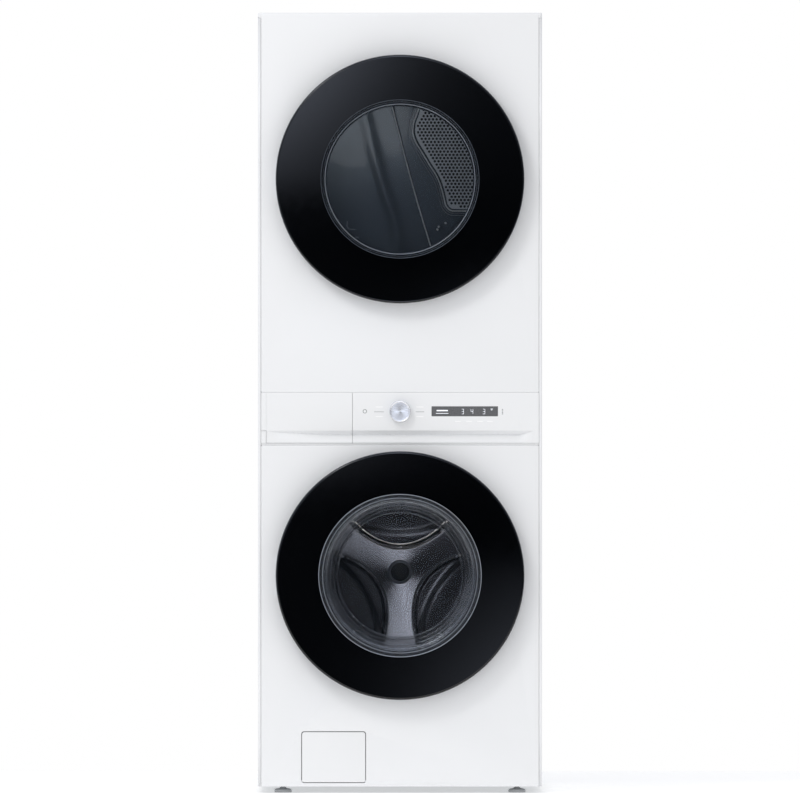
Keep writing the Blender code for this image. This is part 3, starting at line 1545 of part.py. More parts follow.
def make_drive():
    place = facing_front(MOTOR_X, MACHINE_Z)
    motor_back = MOTOR_SETBACK + MOTOR_LENGTH
    motor = turned(
        "dryer_motor",
        [
            (MOTOR_SHAFT_RADIUS + PANEL_GAP, -MOTOR_SETBACK),
            (0.022, -MOTOR_SETBACK),
            (MOTOR_RADIUS, -MOTOR_SETBACK - 0.018),
            (MOTOR_RADIUS, -motor_back + 0.018),
            (0.022, -motor_back),
            (MOTOR_SHAFT_RADIUS + PANEL_GAP, -motor_back),
        ],
        place,
        "steel",
    )
    floor_z = DRYER_BOTTOM + BASE_SHEET + SEAT_GAP
    cradle = block(
        "motor_cradle",
        (MOTOR_X - MOTOR_RADIUS * 0.8, MOTOR_X + MOTOR_RADIUS * 0.8),
        span(-MOTOR_SETBACK - 0.040, -motor_back + 0.040),
        (floor_z, MACHINE_Z - MOTOR_RADIUS * 0.7),
    )
    join(motor, cradle)

    belt_plane = motor_back + 0.025
    wheel_front = BLOWER_FRONT
    wheel_back = BLOWER_FRONT + BLOWER_LENGTH
    shaft = turned(
        "motor_shaft",
        [
            (0, -wheel_front),
            (BLOWER_RADIUS, -wheel_front),
            (BLOWER_RADIUS, -wheel_back),
            (MOTOR_SHAFT_RADIUS, -wheel_back),
            (MOTOR_SHAFT_RADIUS, -belt_plane + PULLEY_WIDTH / 2),
            (PULLEY_RADIUS, -belt_plane + PULLEY_WIDTH / 2),
            (PULLEY_RADIUS, -belt_plane - PULLEY_WIDTH / 2),
            (0, -belt_plane - PULLEY_WIDTH / 2),
        ],
        place,
        "dark_plastic",
        MEDIUM_ROUND,
    )
    hang(body("motor_axis", (MOTOR_X, proud(-belt_plane), MACHINE_Z)), shaft)
    make_belt(belt_plane)
    make_blower(place, wheel_front, wheel_back)


def make_belt(belt_plane):
    """A flat belt as an open loop round the drum and the motor's pulley."""

    def loop(grow):
        big, small = DRYER_DRUM_RADIUS + grow, PULLEY_RADIUS + grow
        across = Vector((MOTOR_X, MACHINE_Z - DRYER_AXIS_Z))
        reach, heading = across.length, math.atan2(across.y, across.x)
        lean = math.acos((big - small) / reach)
        wrap = 2 * math.pi - 2 * lean
        round_drum = around(big, BELT_FACETS, (0, DRYER_AXIS_Z), heading + lean, wrap)
        round_pulley = around(small, 6, (MOTOR_X, MACHINE_Z), heading - lean, 2 * lean)
        return round_drum + round_pulley

    pierced(
        "drive_belt",
        [loop(BELT_GAP + BELT_THICKNESS), loop(BELT_GAP)],
        -belt_plane - BELT_WIDTH / 2,
        -belt_plane + BELT_WIDTH / 2,
        facing_front(0, 0),
        "black_rubber",
    )


def make_blower(place, wheel_front, wheel_back):
    """The blower's housing, open to the lint filter in front, and the vent duct to the back."""
    room = BLOWER_RADIUS + BLOWER_GAP
    gap, wall = BLOWER_GAP, BLOWER_WALL
    front, back = -wheel_front + gap, -wheel_back - gap
    eye, hub = BLOWER_RADIUS * 0.6, MOTOR_SHAFT_RADIUS + PANEL_GAP
    housing = turned(
        "blower_housing",
        [
            (eye, front + wall),
            (room + wall, front + wall),
            (room + wall, back - wall),
            (hub, back - wall),
            (hub, back),
            (room, back),
            (room, front),
            (eye, front),
        ],
        place,
        "galvanised",
    )
    bore, duct_end = DUCT_RADIUS - DUCT_WALL, -CABINET_DEPTH - DUCT_PROUD
    duct = turned(
        "vent_duct",
        [
            (0, front),
            (DUCT_RADIUS, front),
            (DUCT_RADIUS, duct_end),
            (bore, duct_end),
            (bore, front - wall),
            (0, front - wall),
        ],
        facing_front(DUCT_X, MACHINE_Z),
    )
    cross = DUCT_RADIUS * 0.42
    start = MOTOR_X + math.sqrt((room + wall) ** 2 - cross**2) - wall / 4
    end = DUCT_X - math.sqrt(DUCT_RADIUS**2 - cross**2) + wall / 4
    middle = -(wheel_front + wheel_back) / 2
    crossing = block(
        "blower_outlet",
        (start, end),
        span(middle - cross, middle + cross),
        (MACHINE_Z - cross, MACHINE_Z + cross),
    )
    clear = cross - wall
    passage = block(
        "blower_passage",
        (start - 2 * wall, end + 2 * wall),
        span(middle - clear, middle + clear),
        (MACHINE_Z - clear, MACHINE_Z + clear),
    )
    join(housing, crossing, duct)
    cut(housing, passage)


def main():
    clear_scene()
    global PARTS, CUTTERS
    PARTS = new_collection("washer_dryer_tower")
    CUTTERS = new_collection("cutters")
    make_cabinet(make_feet())
    make_fronts()
    make_backs()
    make_frames()
    make_controls()
    make_drawer()
    make_door("washer", WASHER_AXIS_Z, bowl_outline())
    make_door("dryer", DRYER_AXIS_Z, dryer_glass_outline())
    make_gasket()
    make_tub()
    make_washer_drum()
    make_suspension()
    make_pump()
    make_hatch()
    make_water_inlets()
    make_dryer_drum()
    make_bulkheads()
    make_drive()


main()
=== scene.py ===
"""Laundry tower: a front-loading washer below, a dryer above and one control panel between them.

Metres, +Z up, -Y is the front. Profiles of turned pieces are (radius, proud): proud is the distance
in front of the front panels' face, so whatever lies inside the cabinet has a negative proud.
"""

import json
import math

import bmesh
import bpy
import numpy as np
from bpy.props import FloatProperty, FloatVectorProperty, IntProperty, PointerProperty
from mathutils import Matrix, Vector

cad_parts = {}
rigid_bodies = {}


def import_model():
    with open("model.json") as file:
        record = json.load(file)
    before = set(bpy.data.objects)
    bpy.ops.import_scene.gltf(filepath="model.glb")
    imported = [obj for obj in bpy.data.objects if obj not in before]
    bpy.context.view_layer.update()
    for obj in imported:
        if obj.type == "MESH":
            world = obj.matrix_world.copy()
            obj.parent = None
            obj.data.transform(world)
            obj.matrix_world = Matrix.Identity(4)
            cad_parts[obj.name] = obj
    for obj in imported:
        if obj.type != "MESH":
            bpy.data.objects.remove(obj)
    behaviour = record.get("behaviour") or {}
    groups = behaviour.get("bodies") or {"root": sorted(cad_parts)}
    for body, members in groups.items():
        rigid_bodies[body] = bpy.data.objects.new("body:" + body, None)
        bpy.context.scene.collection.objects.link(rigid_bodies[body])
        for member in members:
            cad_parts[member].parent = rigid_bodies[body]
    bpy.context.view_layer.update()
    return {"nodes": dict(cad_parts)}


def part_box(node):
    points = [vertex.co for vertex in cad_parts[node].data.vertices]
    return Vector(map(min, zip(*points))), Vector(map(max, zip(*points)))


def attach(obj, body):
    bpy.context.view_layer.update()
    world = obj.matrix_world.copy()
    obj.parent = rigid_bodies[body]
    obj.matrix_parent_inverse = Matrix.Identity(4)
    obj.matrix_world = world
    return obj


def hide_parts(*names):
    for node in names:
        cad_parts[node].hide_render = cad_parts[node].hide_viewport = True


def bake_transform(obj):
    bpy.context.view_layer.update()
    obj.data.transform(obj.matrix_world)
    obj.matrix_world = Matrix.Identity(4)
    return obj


bl_info = {"name": "Laundry Tower", "version": (1, 0, 0), "blender": (4, 5, 0),
    "location": "3D View > Sidebar > Laundry",
    "description": "Builds a washer and dryer tower round its mechanical frame",
    "category": "Object"}

for spare in list(bpy.data.objects):
    bpy.data.objects.remove(spare)
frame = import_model()

# ---- places taken from the frame ---------------------------------------------------------------
FRONT_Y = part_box("washer_front_panel")[0].y
BACK_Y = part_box("top_cover")[1].y
DUCT_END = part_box("blower_housing")[1].y
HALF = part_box("side_panel_right")[1].x
FACE_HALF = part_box("washer_front_panel")[1].x
FLOOR_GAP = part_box("base_pan")[0].z
WASHER_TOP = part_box("washer_front_panel")[1].z
CONTROL_LOW, CONTROL_HIGH = (corner.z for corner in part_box("control_fascia"))
DRYER_LOW, DRYER_HIGH = (corner.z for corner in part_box("dryer_front_panel"))
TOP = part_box("top_cover")[1].z


def middle(node):
    low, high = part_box(node)
    return (low + high) / 2


WASHER_Z = middle("washer_door_frame").z
DRYER_Z = middle("dryer_door_frame").z
DIAL_Z = middle("dial_knob").z
DOOR_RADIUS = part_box("washer_door_frame")[1].x
DOOR_PROUD = FRONT_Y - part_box("washer_door_pane")[0].y
WINDOW_RADIUS = 0.197
DRYER_WINDOW_RADIUS = 0.1918
OPENING_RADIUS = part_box("door_gasket")[1].x
DRUM_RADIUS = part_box("washer_drum_wrapper")[1].x
DRUM_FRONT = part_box("washer_drum_wrapper")[0].y + 0.006 - FRONT_Y
DRUM_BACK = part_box("washer_drum_back")[0].y + 0.012 - FRONT_Y
DRYER_DRUM_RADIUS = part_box("dryer_drum")[1].x
DRYER_DRUM_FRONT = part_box("dryer_drum")[0].y - FRONT_Y
DRYER_DRUM_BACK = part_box("dryer_drum")[1].y - FRONT_Y
BULKHEAD_FACE = DRYER_DRUM_BACK + 0.0016
DRAWER_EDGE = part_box("drawer_front")[1].x

SHEET = 0.001
PANEL_HIGH = DRYER_LOW - 0.0002
GROOVE_LOW, GROOVE_HIGH = 0.8472, 0.8752
GROOVE_END = 0.323
GROOVE_TAPER = 0.036
GROOVE_DEPTH = 0.016
RAIL = 0.024
HATCH_INSET = 0.0033


def proud(distance):
    return FRONT_Y - distance


# ---- settings ----------------------------------------------------------------------------------
def colour_property(name, description, default):
    return FloatVectorProperty(name=name, description=description, default=default, size=3, min=0,
        max=1, subtype="COLOR")


def length_property(name, description, default):
    words = {"name": name, "description": description}
    return FloatProperty(default=default, min=0, unit="LENGTH", precision=4, **words)


class LaundryColours(bpy.types.PropertyGroup):
    """Finishes that a user would change"""

    enamel: colour_property("Enamel", "Colour of the painted sheets", (0.842, 0.850, 0.866))
    plastic: colour_property("Panel plastic", "Colour of the control panel", (0.838, 0.846, 0.860))
    glass: colour_property("Door glass", "Colour behind the black glass", (0.0006, 0.0008, 0.0012))
    window: colour_property("Window tint", "Tint of the see-through glass", (0.010, 0.014, 0.020))
    drum: colour_property("Dryer drum", "Colour of the dryer's drum", (0.062, 0.083, 0.107))
    display: colour_property("Display", "Colour of the display window", (0.115, 0.116, 0.120))


class LaundrySizes(bpy.types.PropertyGroup):
    """Sizes that a user would change"""

    edge: length_property("Sheet edge", "Radius of the pressed sheets' edges", 0.003)
    perforation: length_property("Drum hole", "Radius of the washer drum's holes", 0.0022)
    grille_pitch: length_property("Grille pitch", "Distance between the grille's holes", 0.0092)
    grille_hole: length_property("Grille hole", "Radius of the grille's holes", 0.0033)
    wire: length_property("Spring wire", "Radius of the springs' wire", 0.0015)
    coils: IntProperty(name="Spring coils", description="Turns of each spring", default=11, min=3)
    segments: IntProperty(name="Round segments", description="Segments of the large turned pieces",
        default=160, min=24)


def sizes():
    return bpy.context.scene.laundry_sizes


def colours():
    return bpy.context.scene.laundry_colours


# ---- finishes ----------------------------------------------------------------------------------
def shader_group(name, colour, roughness, values):
    """An empty shader group: vector, colour, roughness and named values in; three maps out."""
    tree = bpy.data.node_groups.new(name, "ShaderNodeTree")
    sockets = [("Vector", "Vector", None), ("Colour", "Color", (*colour, 1)),
        ("Roughness", "Float", roughness)]
    sockets += [(label, "Float", value) for label, value in values.items()]
    for label, kind, default in sockets:
        socket = tree.interface.new_socket(label, in_out="INPUT", socket_type="NodeSocket" + kind)
        if default is not None:
            socket.default_value = default
    for label, kind in (("Colour", "Color"), ("Roughness", "Float"), ("Height", "Float")):
        tree.interface.new_socket(label, in_out="OUTPUT", socket_type="NodeSocket" + kind)
    return tree, tree.nodes.new("NodeGroupInput").outputs, tree.nodes.new("NodeGroupOutput")


def put(tree, kind, settings=None, **links):
    """Adds a node. Links name its inputs: a socket is linked, anything else is set."""
    node = tree.nodes.new(kind)
    for key, value in (settings or {}).items():
        setattr(node, key, value)
    for key, value in links.items():
        target = node.inputs[int(key[1:])] if key[0] == "i" and key[1:].isdigit() else None
        target = target or node.inputs[key.replace("_", " ")]
        if isinstance(value, bpy.types.NodeSocket):
            tree.links.new(value, target)
        else:
            target.default_value = value
    return node


def calc(tree, operation, a, b=0.0, c=0.0):
    return put(tree, "ShaderNodeMath", {"operation": operation}, i0=a, i1=b, i2=c).outputs[0]


def noise(tree, vector, scale, detail):
    return put(tree, "ShaderNodeTexNoise", Vector=vector, Scale=scale, Detail=detail).outputs[0]


def end_group(tree, get, out, centred, spread, gloss, height, grain=None):
    """Ends a group: the centred map tints the colour and shifts the gloss."""
    factor = calc(tree, "MULTIPLY_ADD", centred, get[spread], 1.0)
    scaled = put(tree, "ShaderNodeVectorMath", {"operation": "SCALE"}, i0=get["Colour"], i3=factor)
    rough = calc(tree, "MULTIPLY_ADD", centred, get[gloss], get["Roughness"])
    if grain:
        rough = calc(tree, "MULTIPLY_ADD", height, grain, rough)
    tree.links.new(scaled.outputs[0], out.inputs["Colour"])
    tree.links.new(rough, out.inputs["Roughness"])
    tree.links.new(height, out.inputs["Height"])
    return tree


def finish_group():
    """Moulded or painted finish: slow drift in colour and gloss, fine grain in height."""
    values = {"Grain Scale": 600.0, "Drift": 0.03, "Gloss Drift": 0.05}
    tree, get, out = shader_group("Surface finish", (0.8, 0.8, 0.8), 0.4, values)
    centred = calc(tree, "SUBTRACT", noise(tree, get["Vector"], 5.0, 3.0), 0.5)
    fine = noise(tree, get["Vector"], get["Grain Scale"], 2.0)
    return end_group(tree, get, out, centred, "Drift", "Gloss Drift", fine, 0.04)


def brushed_group():
    """Brushed metal: long scratches along the vector's first axis."""
    values = {"Scale": 400.0, "Contrast": 0.15}
    tree, get, out = shader_group("Brushed metal", (0.6, 0.6, 0.6), 0.3, values)
    stretched = put(tree, "ShaderNodeVectorMath", {"operation": "MULTIPLY"}, i0=get["Vector"],
        i1=(0.02, 1, 1))
    lines = noise(tree, stretched.outputs[0], get["Scale"], 4.0)
    mixed = calc(tree, "ADD", lines, noise(tree, get["Vector"], 9.0, 3.0))
    centred = calc(tree, "SUBTRACT", mixed, 1.0)
    return end_group(tree, get, out, centred, "Contrast", "Contrast", lines)


def spangle_group():
    """Zinc spangle or stone speckle: flat cells of slightly different tone."""
    values = {"Scale": 90.0, "Contrast": 0.2}
    tree, get, out = shader_group("Spangle", (0.5, 0.5, 0.5), 0.45, values)
    bent = put(tree, "ShaderNodeTexNoise", Vector=get["Vector"], Scale=40.0)
    moved = put(tree, "ShaderNodeVectorMath", {"operation": "MULTIPLY_ADD"}, i0=bent.outputs[1],
        i1=(0.01, 0.01, 0.01), i2=get["Vector"])
    cells = put(tree, "ShaderNodeTexVoronoi", Vector=moved.outputs[0], Scale=get["Scale"])
    tone = put(tree, "ShaderNodeSeparateColor", Color=cells.outputs["Color"]).outputs[0]
    centred = calc(tree, "SUBTRACT", tone, 0.5)
    return end_group(tree, get, out, centred, "Contrast", "Contrast", tone)


GROUPS = {}
FINISHES = {}


def group(kind):
    makers = {"finish": finish_group, "brushed": brushed_group, "spangle": spangle_group}
    if kind not in GROUPS:
        GROUPS[kind] = makers[kind]()
    return GROUPS[kind]


def surface(name, kind, colour, roughness, bump=0.1, depth=0.0002, turn=None, shader=None,
        **values):
    """A Principled material whose colour, roughness and bump come from one of the shared groups."""
    made = bpy.data.materials.new(name)
    made.use_nodes = True
    tree = made.node_tree
    lit = tree.nodes["Principled BSDF"]
    where = tree.nodes.new("ShaderNodeTexCoord").outputs["Object"]
    if turn:
        where = put(tree, "ShaderNodeMapping", Vector=where, Rotation=turn).outputs[0]
    node = tree.nodes.new("ShaderNodeGroup")
    node.node_tree = group(kind)
    tree.links.new(where, node.inputs["Vector"])
    node.inputs["Colour"].default_value = (*colour, 1)
    node.inputs["Roughness"].default_value = roughness
    for key, value in values.items():
        node.inputs[key.replace("_", " ")].default_value = value
    tree.links.new(node.outputs["Colour"], lit.inputs["Base Color"])
    tree.links.new(node.outputs["Roughness"], lit.inputs["Roughness"])
    bumped = put(tree, "ShaderNodeBump", Strength=bump, Distance=depth,
        Height=node.outputs["Height"])
    tree.links.new(bumped.outputs[0], lit.inputs["Normal"])
    for key, value in (shader or {}).items():
        lit.inputs[key].default_value = value
    FINISHES[name] = made
    return made


def shine(made, colour, strength):
    """Makes a finish give off light."""
    lit = made.node_tree.nodes["Principled BSDF"].inputs
    lit["Emission Color"].default_value, lit["Emission Strength"].default_value = colour, strength


def make_finishes():
    tints = colours()
    coat = {"Coat Weight": 0.25, "Coat Roughness": 0.12}
    surface("white_enamel", "finish", tints.enamel, 0.34, 0.06, Grain_Scale=420.0, Drift=0.012,
        shader=coat)
    surface("white_plastic", "finish", tints.plastic, 0.42, 0.08, Grain_Scale=1400.0, Drift=0.012)
    surface("dial_metal", "brushed", (0.86, 0.86, 0.87), 0.26, 0.03, Contrast=0.04,
        shader={"Metallic": 0.75, "Anisotropic": 0.8})
    tree = FINISHES["dial_metal"].node_tree
    radial = put(tree, "ShaderNodeTangent", {"direction_type": "RADIAL", "axis": "Y"}).outputs[0]
    tree.links.new(radial, tree.nodes["Principled BSDF"].inputs["Tangent"])
    surface("display_glass", "finish", tints.display, 0.25, 0.02, Drift=0.05)
    surface("black_glass", "finish", tints.glass, 0.02, 0.003, Grain_Scale=60.0, Gloss_Drift=0.02)
    surface("window_glass", "finish", tints.window, 0.03, 0.003, Grain_Scale=50.0, Gloss_Drift=0.01,
        shader={"Alpha": 0.10})
    surface("clear_glass", "finish", (0.030, 0.036, 0.044), 0.04, 0.004, Grain_Scale=80.0,
        Gloss_Drift=0.02, shader={"Alpha": 0.07})
    surface("bowl_glass", "finish", (0.38, 0.40, 0.44), 0.06, 0.006, Grain_Scale=80.0,
        Gloss_Drift=0.03, shader={"Alpha": 0.34, "Metallic": 0.85})
    surface("dish_glass", "finish", (0.012, 0.016, 0.022), 0.08, 0.01, Grain_Scale=80.0,
        Gloss_Drift=0.03, shader={"Alpha": 0.70})
    # Painted highlights: the light bead finish stands for the bright glints on the wall's crease,
    # the grille's rim and the screw heads, and the dim copy for the fainter lines round the grille
    # and the sensor bracket.
    surface("bead_light", "finish", (0.78, 0.84, 0.92), 0.45, 0.03, Drift=0.05)
    surface("bead_dim", "finish", (0.24, 0.27, 0.31), 0.45, 0.03, Drift=0.05)
    # Lit and shaded copies of one rim finish: the light one is a painted highlight on window edges,
    # bowl rings and the hub ring, the dim one painted shade on the other rings.
    surface("rim_light", "brushed", (0.34, 0.37, 0.42), 0.40, 0.03, shader={"Metallic": 0.4})
    surface("rim_dim", "brushed", (0.060, 0.070, 0.085), 0.40, 0.03, shader={"Metallic": 0.4})
    surface("door_trim", "finish", (0.055, 0.058, 0.064), 0.28, 0.04, Drift=0.1)
    surface("rim_metal", "brushed", (0.50, 0.52, 0.55), 0.24, 0.03, shader={"Metallic": 0.9})
    surface("grey_rubber", "finish", (0.105, 0.110, 0.118), 0.62, 0.25, Grain_Scale=900.0,
        Drift=0.1)
    surface("black_rubber", "finish", (0.018, 0.018, 0.019), 0.72, 0.3, Grain_Scale=900.0,
        Drift=0.2)
    surface("stainless", "brushed", (0.50, 0.52, 0.56), 0.26, 0.05, turn=(0, 0, math.pi / 2),
        shader={"Metallic": 0.92})
    surface("drum_star", "brushed", (0.245, 0.238, 0.236), 0.10, 0.0006, Scale=150.0, Contrast=0.02,
        shader={"Metallic": 1.0})
    surface("galvanised", "spangle", (0.50, 0.52, 0.54), 0.42, 0.05, Contrast=0.16,
        shader={"Metallic": 0.75})
    surface("tub_plastic", "finish", (0.46, 0.47, 0.48), 0.5, 0.2, Grain_Scale=500.0, Drift=0.06)
    surface("concrete", "spangle", (0.38, 0.37, 0.35), 0.88, 0.6, 0.001, Scale=260.0, Contrast=0.35)
    surface("steel", "brushed", (0.47, 0.48, 0.49), 0.34, 0.08, shader={"Metallic": 0.95})
    surface("dark_plastic", "finish", (0.032, 0.034, 0.037), 0.48, 0.2, Grain_Scale=800.0,
        Drift=0.15)
    surface("board_green", "spangle", (0.02, 0.13, 0.06), 0.45, 0.2, Scale=420.0, Contrast=0.5)
    surface("drum_enamel", "finish", tints.drum, 0.30, 0.05, Grain_Scale=350.0, Drift=0.06,
        shader={"Metallic": 0.35, "Coat Weight": 0.2})
    surface("grille_enamel", "finish", (0.560, 0.620, 0.700), 0.40, 0.04, shader={"Metallic": 0.1})
    # Near-black for painted shade: a sheet behind the dryer's grille stands for the dark space
    # behind its holes.
    surface("cavity_dark", "finish", (0.004, 0.005, 0.007), 0.7, 0.1)
    surface("print_grey", "finish", (0.23, 0.235, 0.24), 0.5, 0.02)
    surface("print_white", "finish", (0.98, 0.98, 0.99), 0.5, 0.02)
    glow = surface("display_light", "finish", (0.85, 0.87, 0.90), 0.4, 0.02, Drift=0.05)
    shine(glow, (0.85, 0.9, 1.0, 1), 0.45)


# ---- mesh helpers ------------------------------------------------------------------------------
def new_mesh(name, verts, faces, edges=()):
    mesh = bpy.data.meshes.new(name)
    mesh.from_pydata(verts, edges, faces)
    return mesh


def finished_mesh(name, work):
    """The mesh of a bmesh, which is freed."""
    mesh = bpy.data.meshes.new(name)
    work.to_mesh(mesh)
    work.free()
    return mesh


def strips(rows, count, closed=True):
    """Quads between rows of count points each; closed rows join their last point to their first."""
    pairs = [(i, (i + 1) % count) for i in range(count if closed else count - 1)]
    starts = [(j * count, (j + 1) * count) for j in range(rows - 1)]
    return [(a + i, a + k, b + k, b + i) for a, b in starts for i, k in pairs]


def show(name, mesh, finish, smooth=30):
    """Links a finished mesh with one material and smooth shading split at sharp edges."""
    mesh.name = name
    mesh.materials.clear()
    mesh.materials.append(FINISHES[finish])
    if smooth:
        mesh.shade_smooth()
        mesh.set_sharp_from_angle(angle=math.radians(smooth))
    made = bpy.data.objects.new(name, mesh)
    bpy.context.scene.collection.objects.link(made)
    return made


def tidy_mesh(mesh, merge=1e-6, recalculate=True):
    work = bmesh.new()
    work.from_mesh(mesh)
    bmesh.ops.remove_doubles(work, verts=work.verts, dist=merge)
    if recalculate:
        bmesh.ops.recalc_face_normals(work, faces=work.faces)
    work.to_mesh(mesh)
    work.free()
    return mesh


def evaluated(made):
    """A plain mesh of an object with its modifiers applied; the object is removed."""
    if made.name not in bpy.context.scene.collection.all_objects:
        bpy.context.scene.collection.objects.link(made)
    bpy.context.view_layer.update()
    graph = bpy.context.evaluated_depsgraph_get()
    mesh = bpy.data.meshes.new_from_object(made.evaluated_get(graph))
    bpy.data.objects.remove(made)
    return mesh


def thickened(made, sheet, offset=-1):
    """Gives a shell its thickness."""
    thicken = made.modifiers.new("Sheet", "SOLIDIFY")
    thicken.thickness, thicken.offset = sheet, offset
    return made


def ride_on(body, *pieces, slot=None, stands_for=()):
    for piece in pieces:
        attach(piece, body)
    if stands_for:
        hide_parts(*stands_for)
    return pieces[0]


def turned(name, profile, finish, axis_z, axis_x=0.0, segments=None, smooth=30):
    """A closed surface of revolution about a line that runs from front to back."""
    count = segments or sizes().segments
    angles = np.linspace(0, 2 * math.pi, count, endpoint=False)
    verts, rings = [], []
    for radius, out in profile:
        if radius < 1e-6:
            rings.append([len(verts)] * count)
            verts.append((axis_x, proud(out), axis_z))
            continue
        rings.append(list(range(len(verts), len(verts) + count)))
        verts += [(axis_x + radius * math.cos(a), proud(out), axis_z + radius * math.sin(a))
            for a in angles]
    faces = []
    for a, b in zip(rings, rings[1:] + rings[:1]):
        for i in range(count):
            j = (i + 1) % count
            corners = list(dict.fromkeys((a[i], a[j], b[j], b[i])))
            if len(corners) > 2:
                faces.append(corners)
    return show(name, tidy_mesh(new_mesh(name, verts, faces)), finish, smooth)


def smooth_path(points, steps=8):
    """Catmull-Rom points through a path."""
    points = [Vector(p) for p in points]
    padded = [2 * points[0] - points[1], *points, 2 * points[-1] - points[-2]]
    out = []
    for a, b, c, d in zip(padded, padded[1:], padded[2:], padded[3:]):
        for i in range(steps):
            t = i / steps
            out.append(0.5 * (2 * b + (c - a) * t + (2 * a - 5 * b + 4 * c - d) * t**2
                    + (3 * b - a - 3 * c + d) * t**3))
    return out + [points[-1]]


def thick_path(points, wall):
    """A closed outline round a path in a plane, wall thick."""
    half, left, right = wall / 2, [], []
    for i, p in enumerate(points):
        along = points[min(i + 1, len(points) - 1)] - points[max(i - 1, 0)]
        normal = Vector((along.y, -along.x)).normalized() * half
        left.append(tuple(p + normal))
        right.append(tuple(p - normal))
    return left + right[::-1]


def circle(radius, x, z, count=160):
    steps = np.linspace(0, 2 * math.pi, count, endpoint=False)
    return [(x + radius * math.cos(a), z + radius * math.sin(a)) for a in steps]


def rounded(x0, x1, z0, z1, radius, steps=8):
    """A rectangle with rounded corners."""
    out = []
    corners = ((x1, z1, 0), (x0, z1, 90), (x0, z0, 180), (x1, z0, 270))
    for x, z, start in corners:
        cx = x - radius if x == x1 else x + radius
        cz = z - radius if z == z1 else z + radius
        for i in range(steps + 1):
            a = math.radians(start + 90 * i / steps)
            out.append((cx + radius * math.cos(a), cz + radius * math.sin(a)))
    return out


def cut_sheet(name, outlines, half, edge, steps=3):
    """Flat closed outlines filled, given thickness and rounded edges; in the local XY plane."""
    curve = bpy.data.curves.new(name, "CURVE")
    curve.dimensions, curve.fill_mode = "2D", "BOTH"
    curve.extrude, curve.bevel_depth, curve.bevel_resolution = half, edge, steps
    curve.offset = -edge
    for outline in outlines:
        spline = curve.splines.new("POLY")
        spline.points.add(len(outline) - 1)
        for point, co in zip(spline.points, outline):
            point.co = (co[0], co[1], 0, 1)
        spline.use_cyclic_u = True
    return evaluated(bpy.data.objects.new(name, curve))


FACING_FRONT = Matrix(((1, 0, 0, 0), (0, 0, -1, 0), (0, 1, 0, 0), (0, 0, 0, 1)))


def slab(name, outlines, front, depth, edge, finish, steps=3):
    """A solid plate facing the front, its face at the given proud."""
    mesh = cut_sheet(name, outlines, depth / 2 - edge, edge, steps)
    mesh.transform(Matrix.Translation((0, proud(front) + depth / 2, 0)) @ FACING_FRONT)
    return show(name, tidy_mesh(mesh), finish)


def open_behind(mesh, half):
    """Takes the rear face off a cut sheet, which leaves a shell with rolled edges."""
    work = bmesh.new()
    work.from_mesh(mesh)
    bmesh.ops.remove_doubles(work, verts=work.verts, dist=1e-6)
    bmesh.ops.recalc_face_normals(work, faces=work.faces)
    back = [f for f in work.faces if all(v.co.z < -half + 1e-6 for v in f.verts)]
    bmesh.ops.delete(work, geom=back, context="FACES")
    work.to_mesh(mesh)
    work.free()


def pressed(name, outlines, depth, edge, finish, face_y=None, towards=1, sheet=SHEET):
    """A pressed sheet: a face with rolled edges turned away from it, open at the back."""
    half = (depth - edge) / 2
    mesh = cut_sheet(name, outlines, half, edge, 4)
    open_behind(mesh, half)
    mesh.transform(Matrix.Translation((0, 0, -half - edge)))
    if towards < 0:
        mesh.transform(Matrix.Rotation(math.pi, 4, "Y"))
        mesh.transform(Matrix.Scale(-1, 4, (1, 0, 0)))
        mesh.flip_normals()
    y = FRONT_Y if face_y is None else face_y
    mesh.transform(Matrix.Translation((0, y, 0)) @ FACING_FRONT)
    return thickened(show(name, mesh, finish), sheet)


def box_piece(name, low, high, edge, finish, segments=2):
    """A box with rounded edges."""
    work = bmesh.new()
    bmesh.ops.create_cube(work, size=1)
    size, centre = Vector(high) - Vector(low), (Vector(high) + Vector(low)) / 2
    for vert in work.verts:
        vert.co = Vector(a * b for a, b in zip(vert.co, size)) + centre
    if edge:
        bmesh.ops.bevel(work, geom=work.edges[:], offset=edge, segments=segments, profile=0.5,
            affect="EDGES")
    return show(name, finished_mesh(name, work), finish)


def joined(target, *others):
    """One mesh out of several that overlap or touch."""
    work = bmesh.new()
    for piece in (target, *others):
        work.from_mesh(piece.data)
    work.to_mesh(target.data)
    work.free()
    for piece in others:
        bpy.data.objects.remove(piece)
    target.data.shade_smooth()
    target.data.set_sharp_from_angle(angle=math.radians(30))
    return target


def carved(target, cutter, finish):
    """The target less the cutter."""
    name = target.name
    change = target.modifiers.new("Carve", "BOOLEAN")
    change.operation, change.solver, change.object = "DIFFERENCE", "EXACT", cutter
    cutter.hide_render = True
    mesh = evaluated(target)
    bpy.data.objects.remove(cutter)
    return show(name, mesh, finish)


def tube(name, points, radius, finish, closed=False, resolution=2):
    """A round bead along points."""
    curve = bpy.data.curves.new(name, "CURVE")
    curve.dimensions = "3D"
    curve.bevel_depth, curve.bevel_resolution, curve.use_fill_caps = radius, resolution, True
    spline = curve.splines.new("POLY")
    spline.points.add(len(points) - 1)
    for point, co in zip(spline.points, points):
        point.co = (*co, 1)
    spline.use_cyclic_u = closed
    return show(name, tidy_mesh(evaluated(bpy.data.objects.new(name, curve))), finish, 60)


# ---- geometry node helpers ---------------------------------------------------------------------
def geometry_tree(name, **inputs):
    """An empty geometry tree with named inputs, the last of them its material."""
    tree = bpy.data.node_groups.new(name, "GeometryNodeTree")
    for label, kind in {"Geometry": "Geometry", **inputs, "Material": "Material"}.items():
        label = label.replace("_", " ")
        tree.interface.new_socket(label, in_out="INPUT", socket_type="NodeSocket" + kind)
    tree.interface.new_socket("Geometry", in_out="OUTPUT", socket_type="NodeSocketGeometry")
    return tree, tree.nodes.new("NodeGroupInput").outputs, tree.nodes.new("NodeGroupOutput")


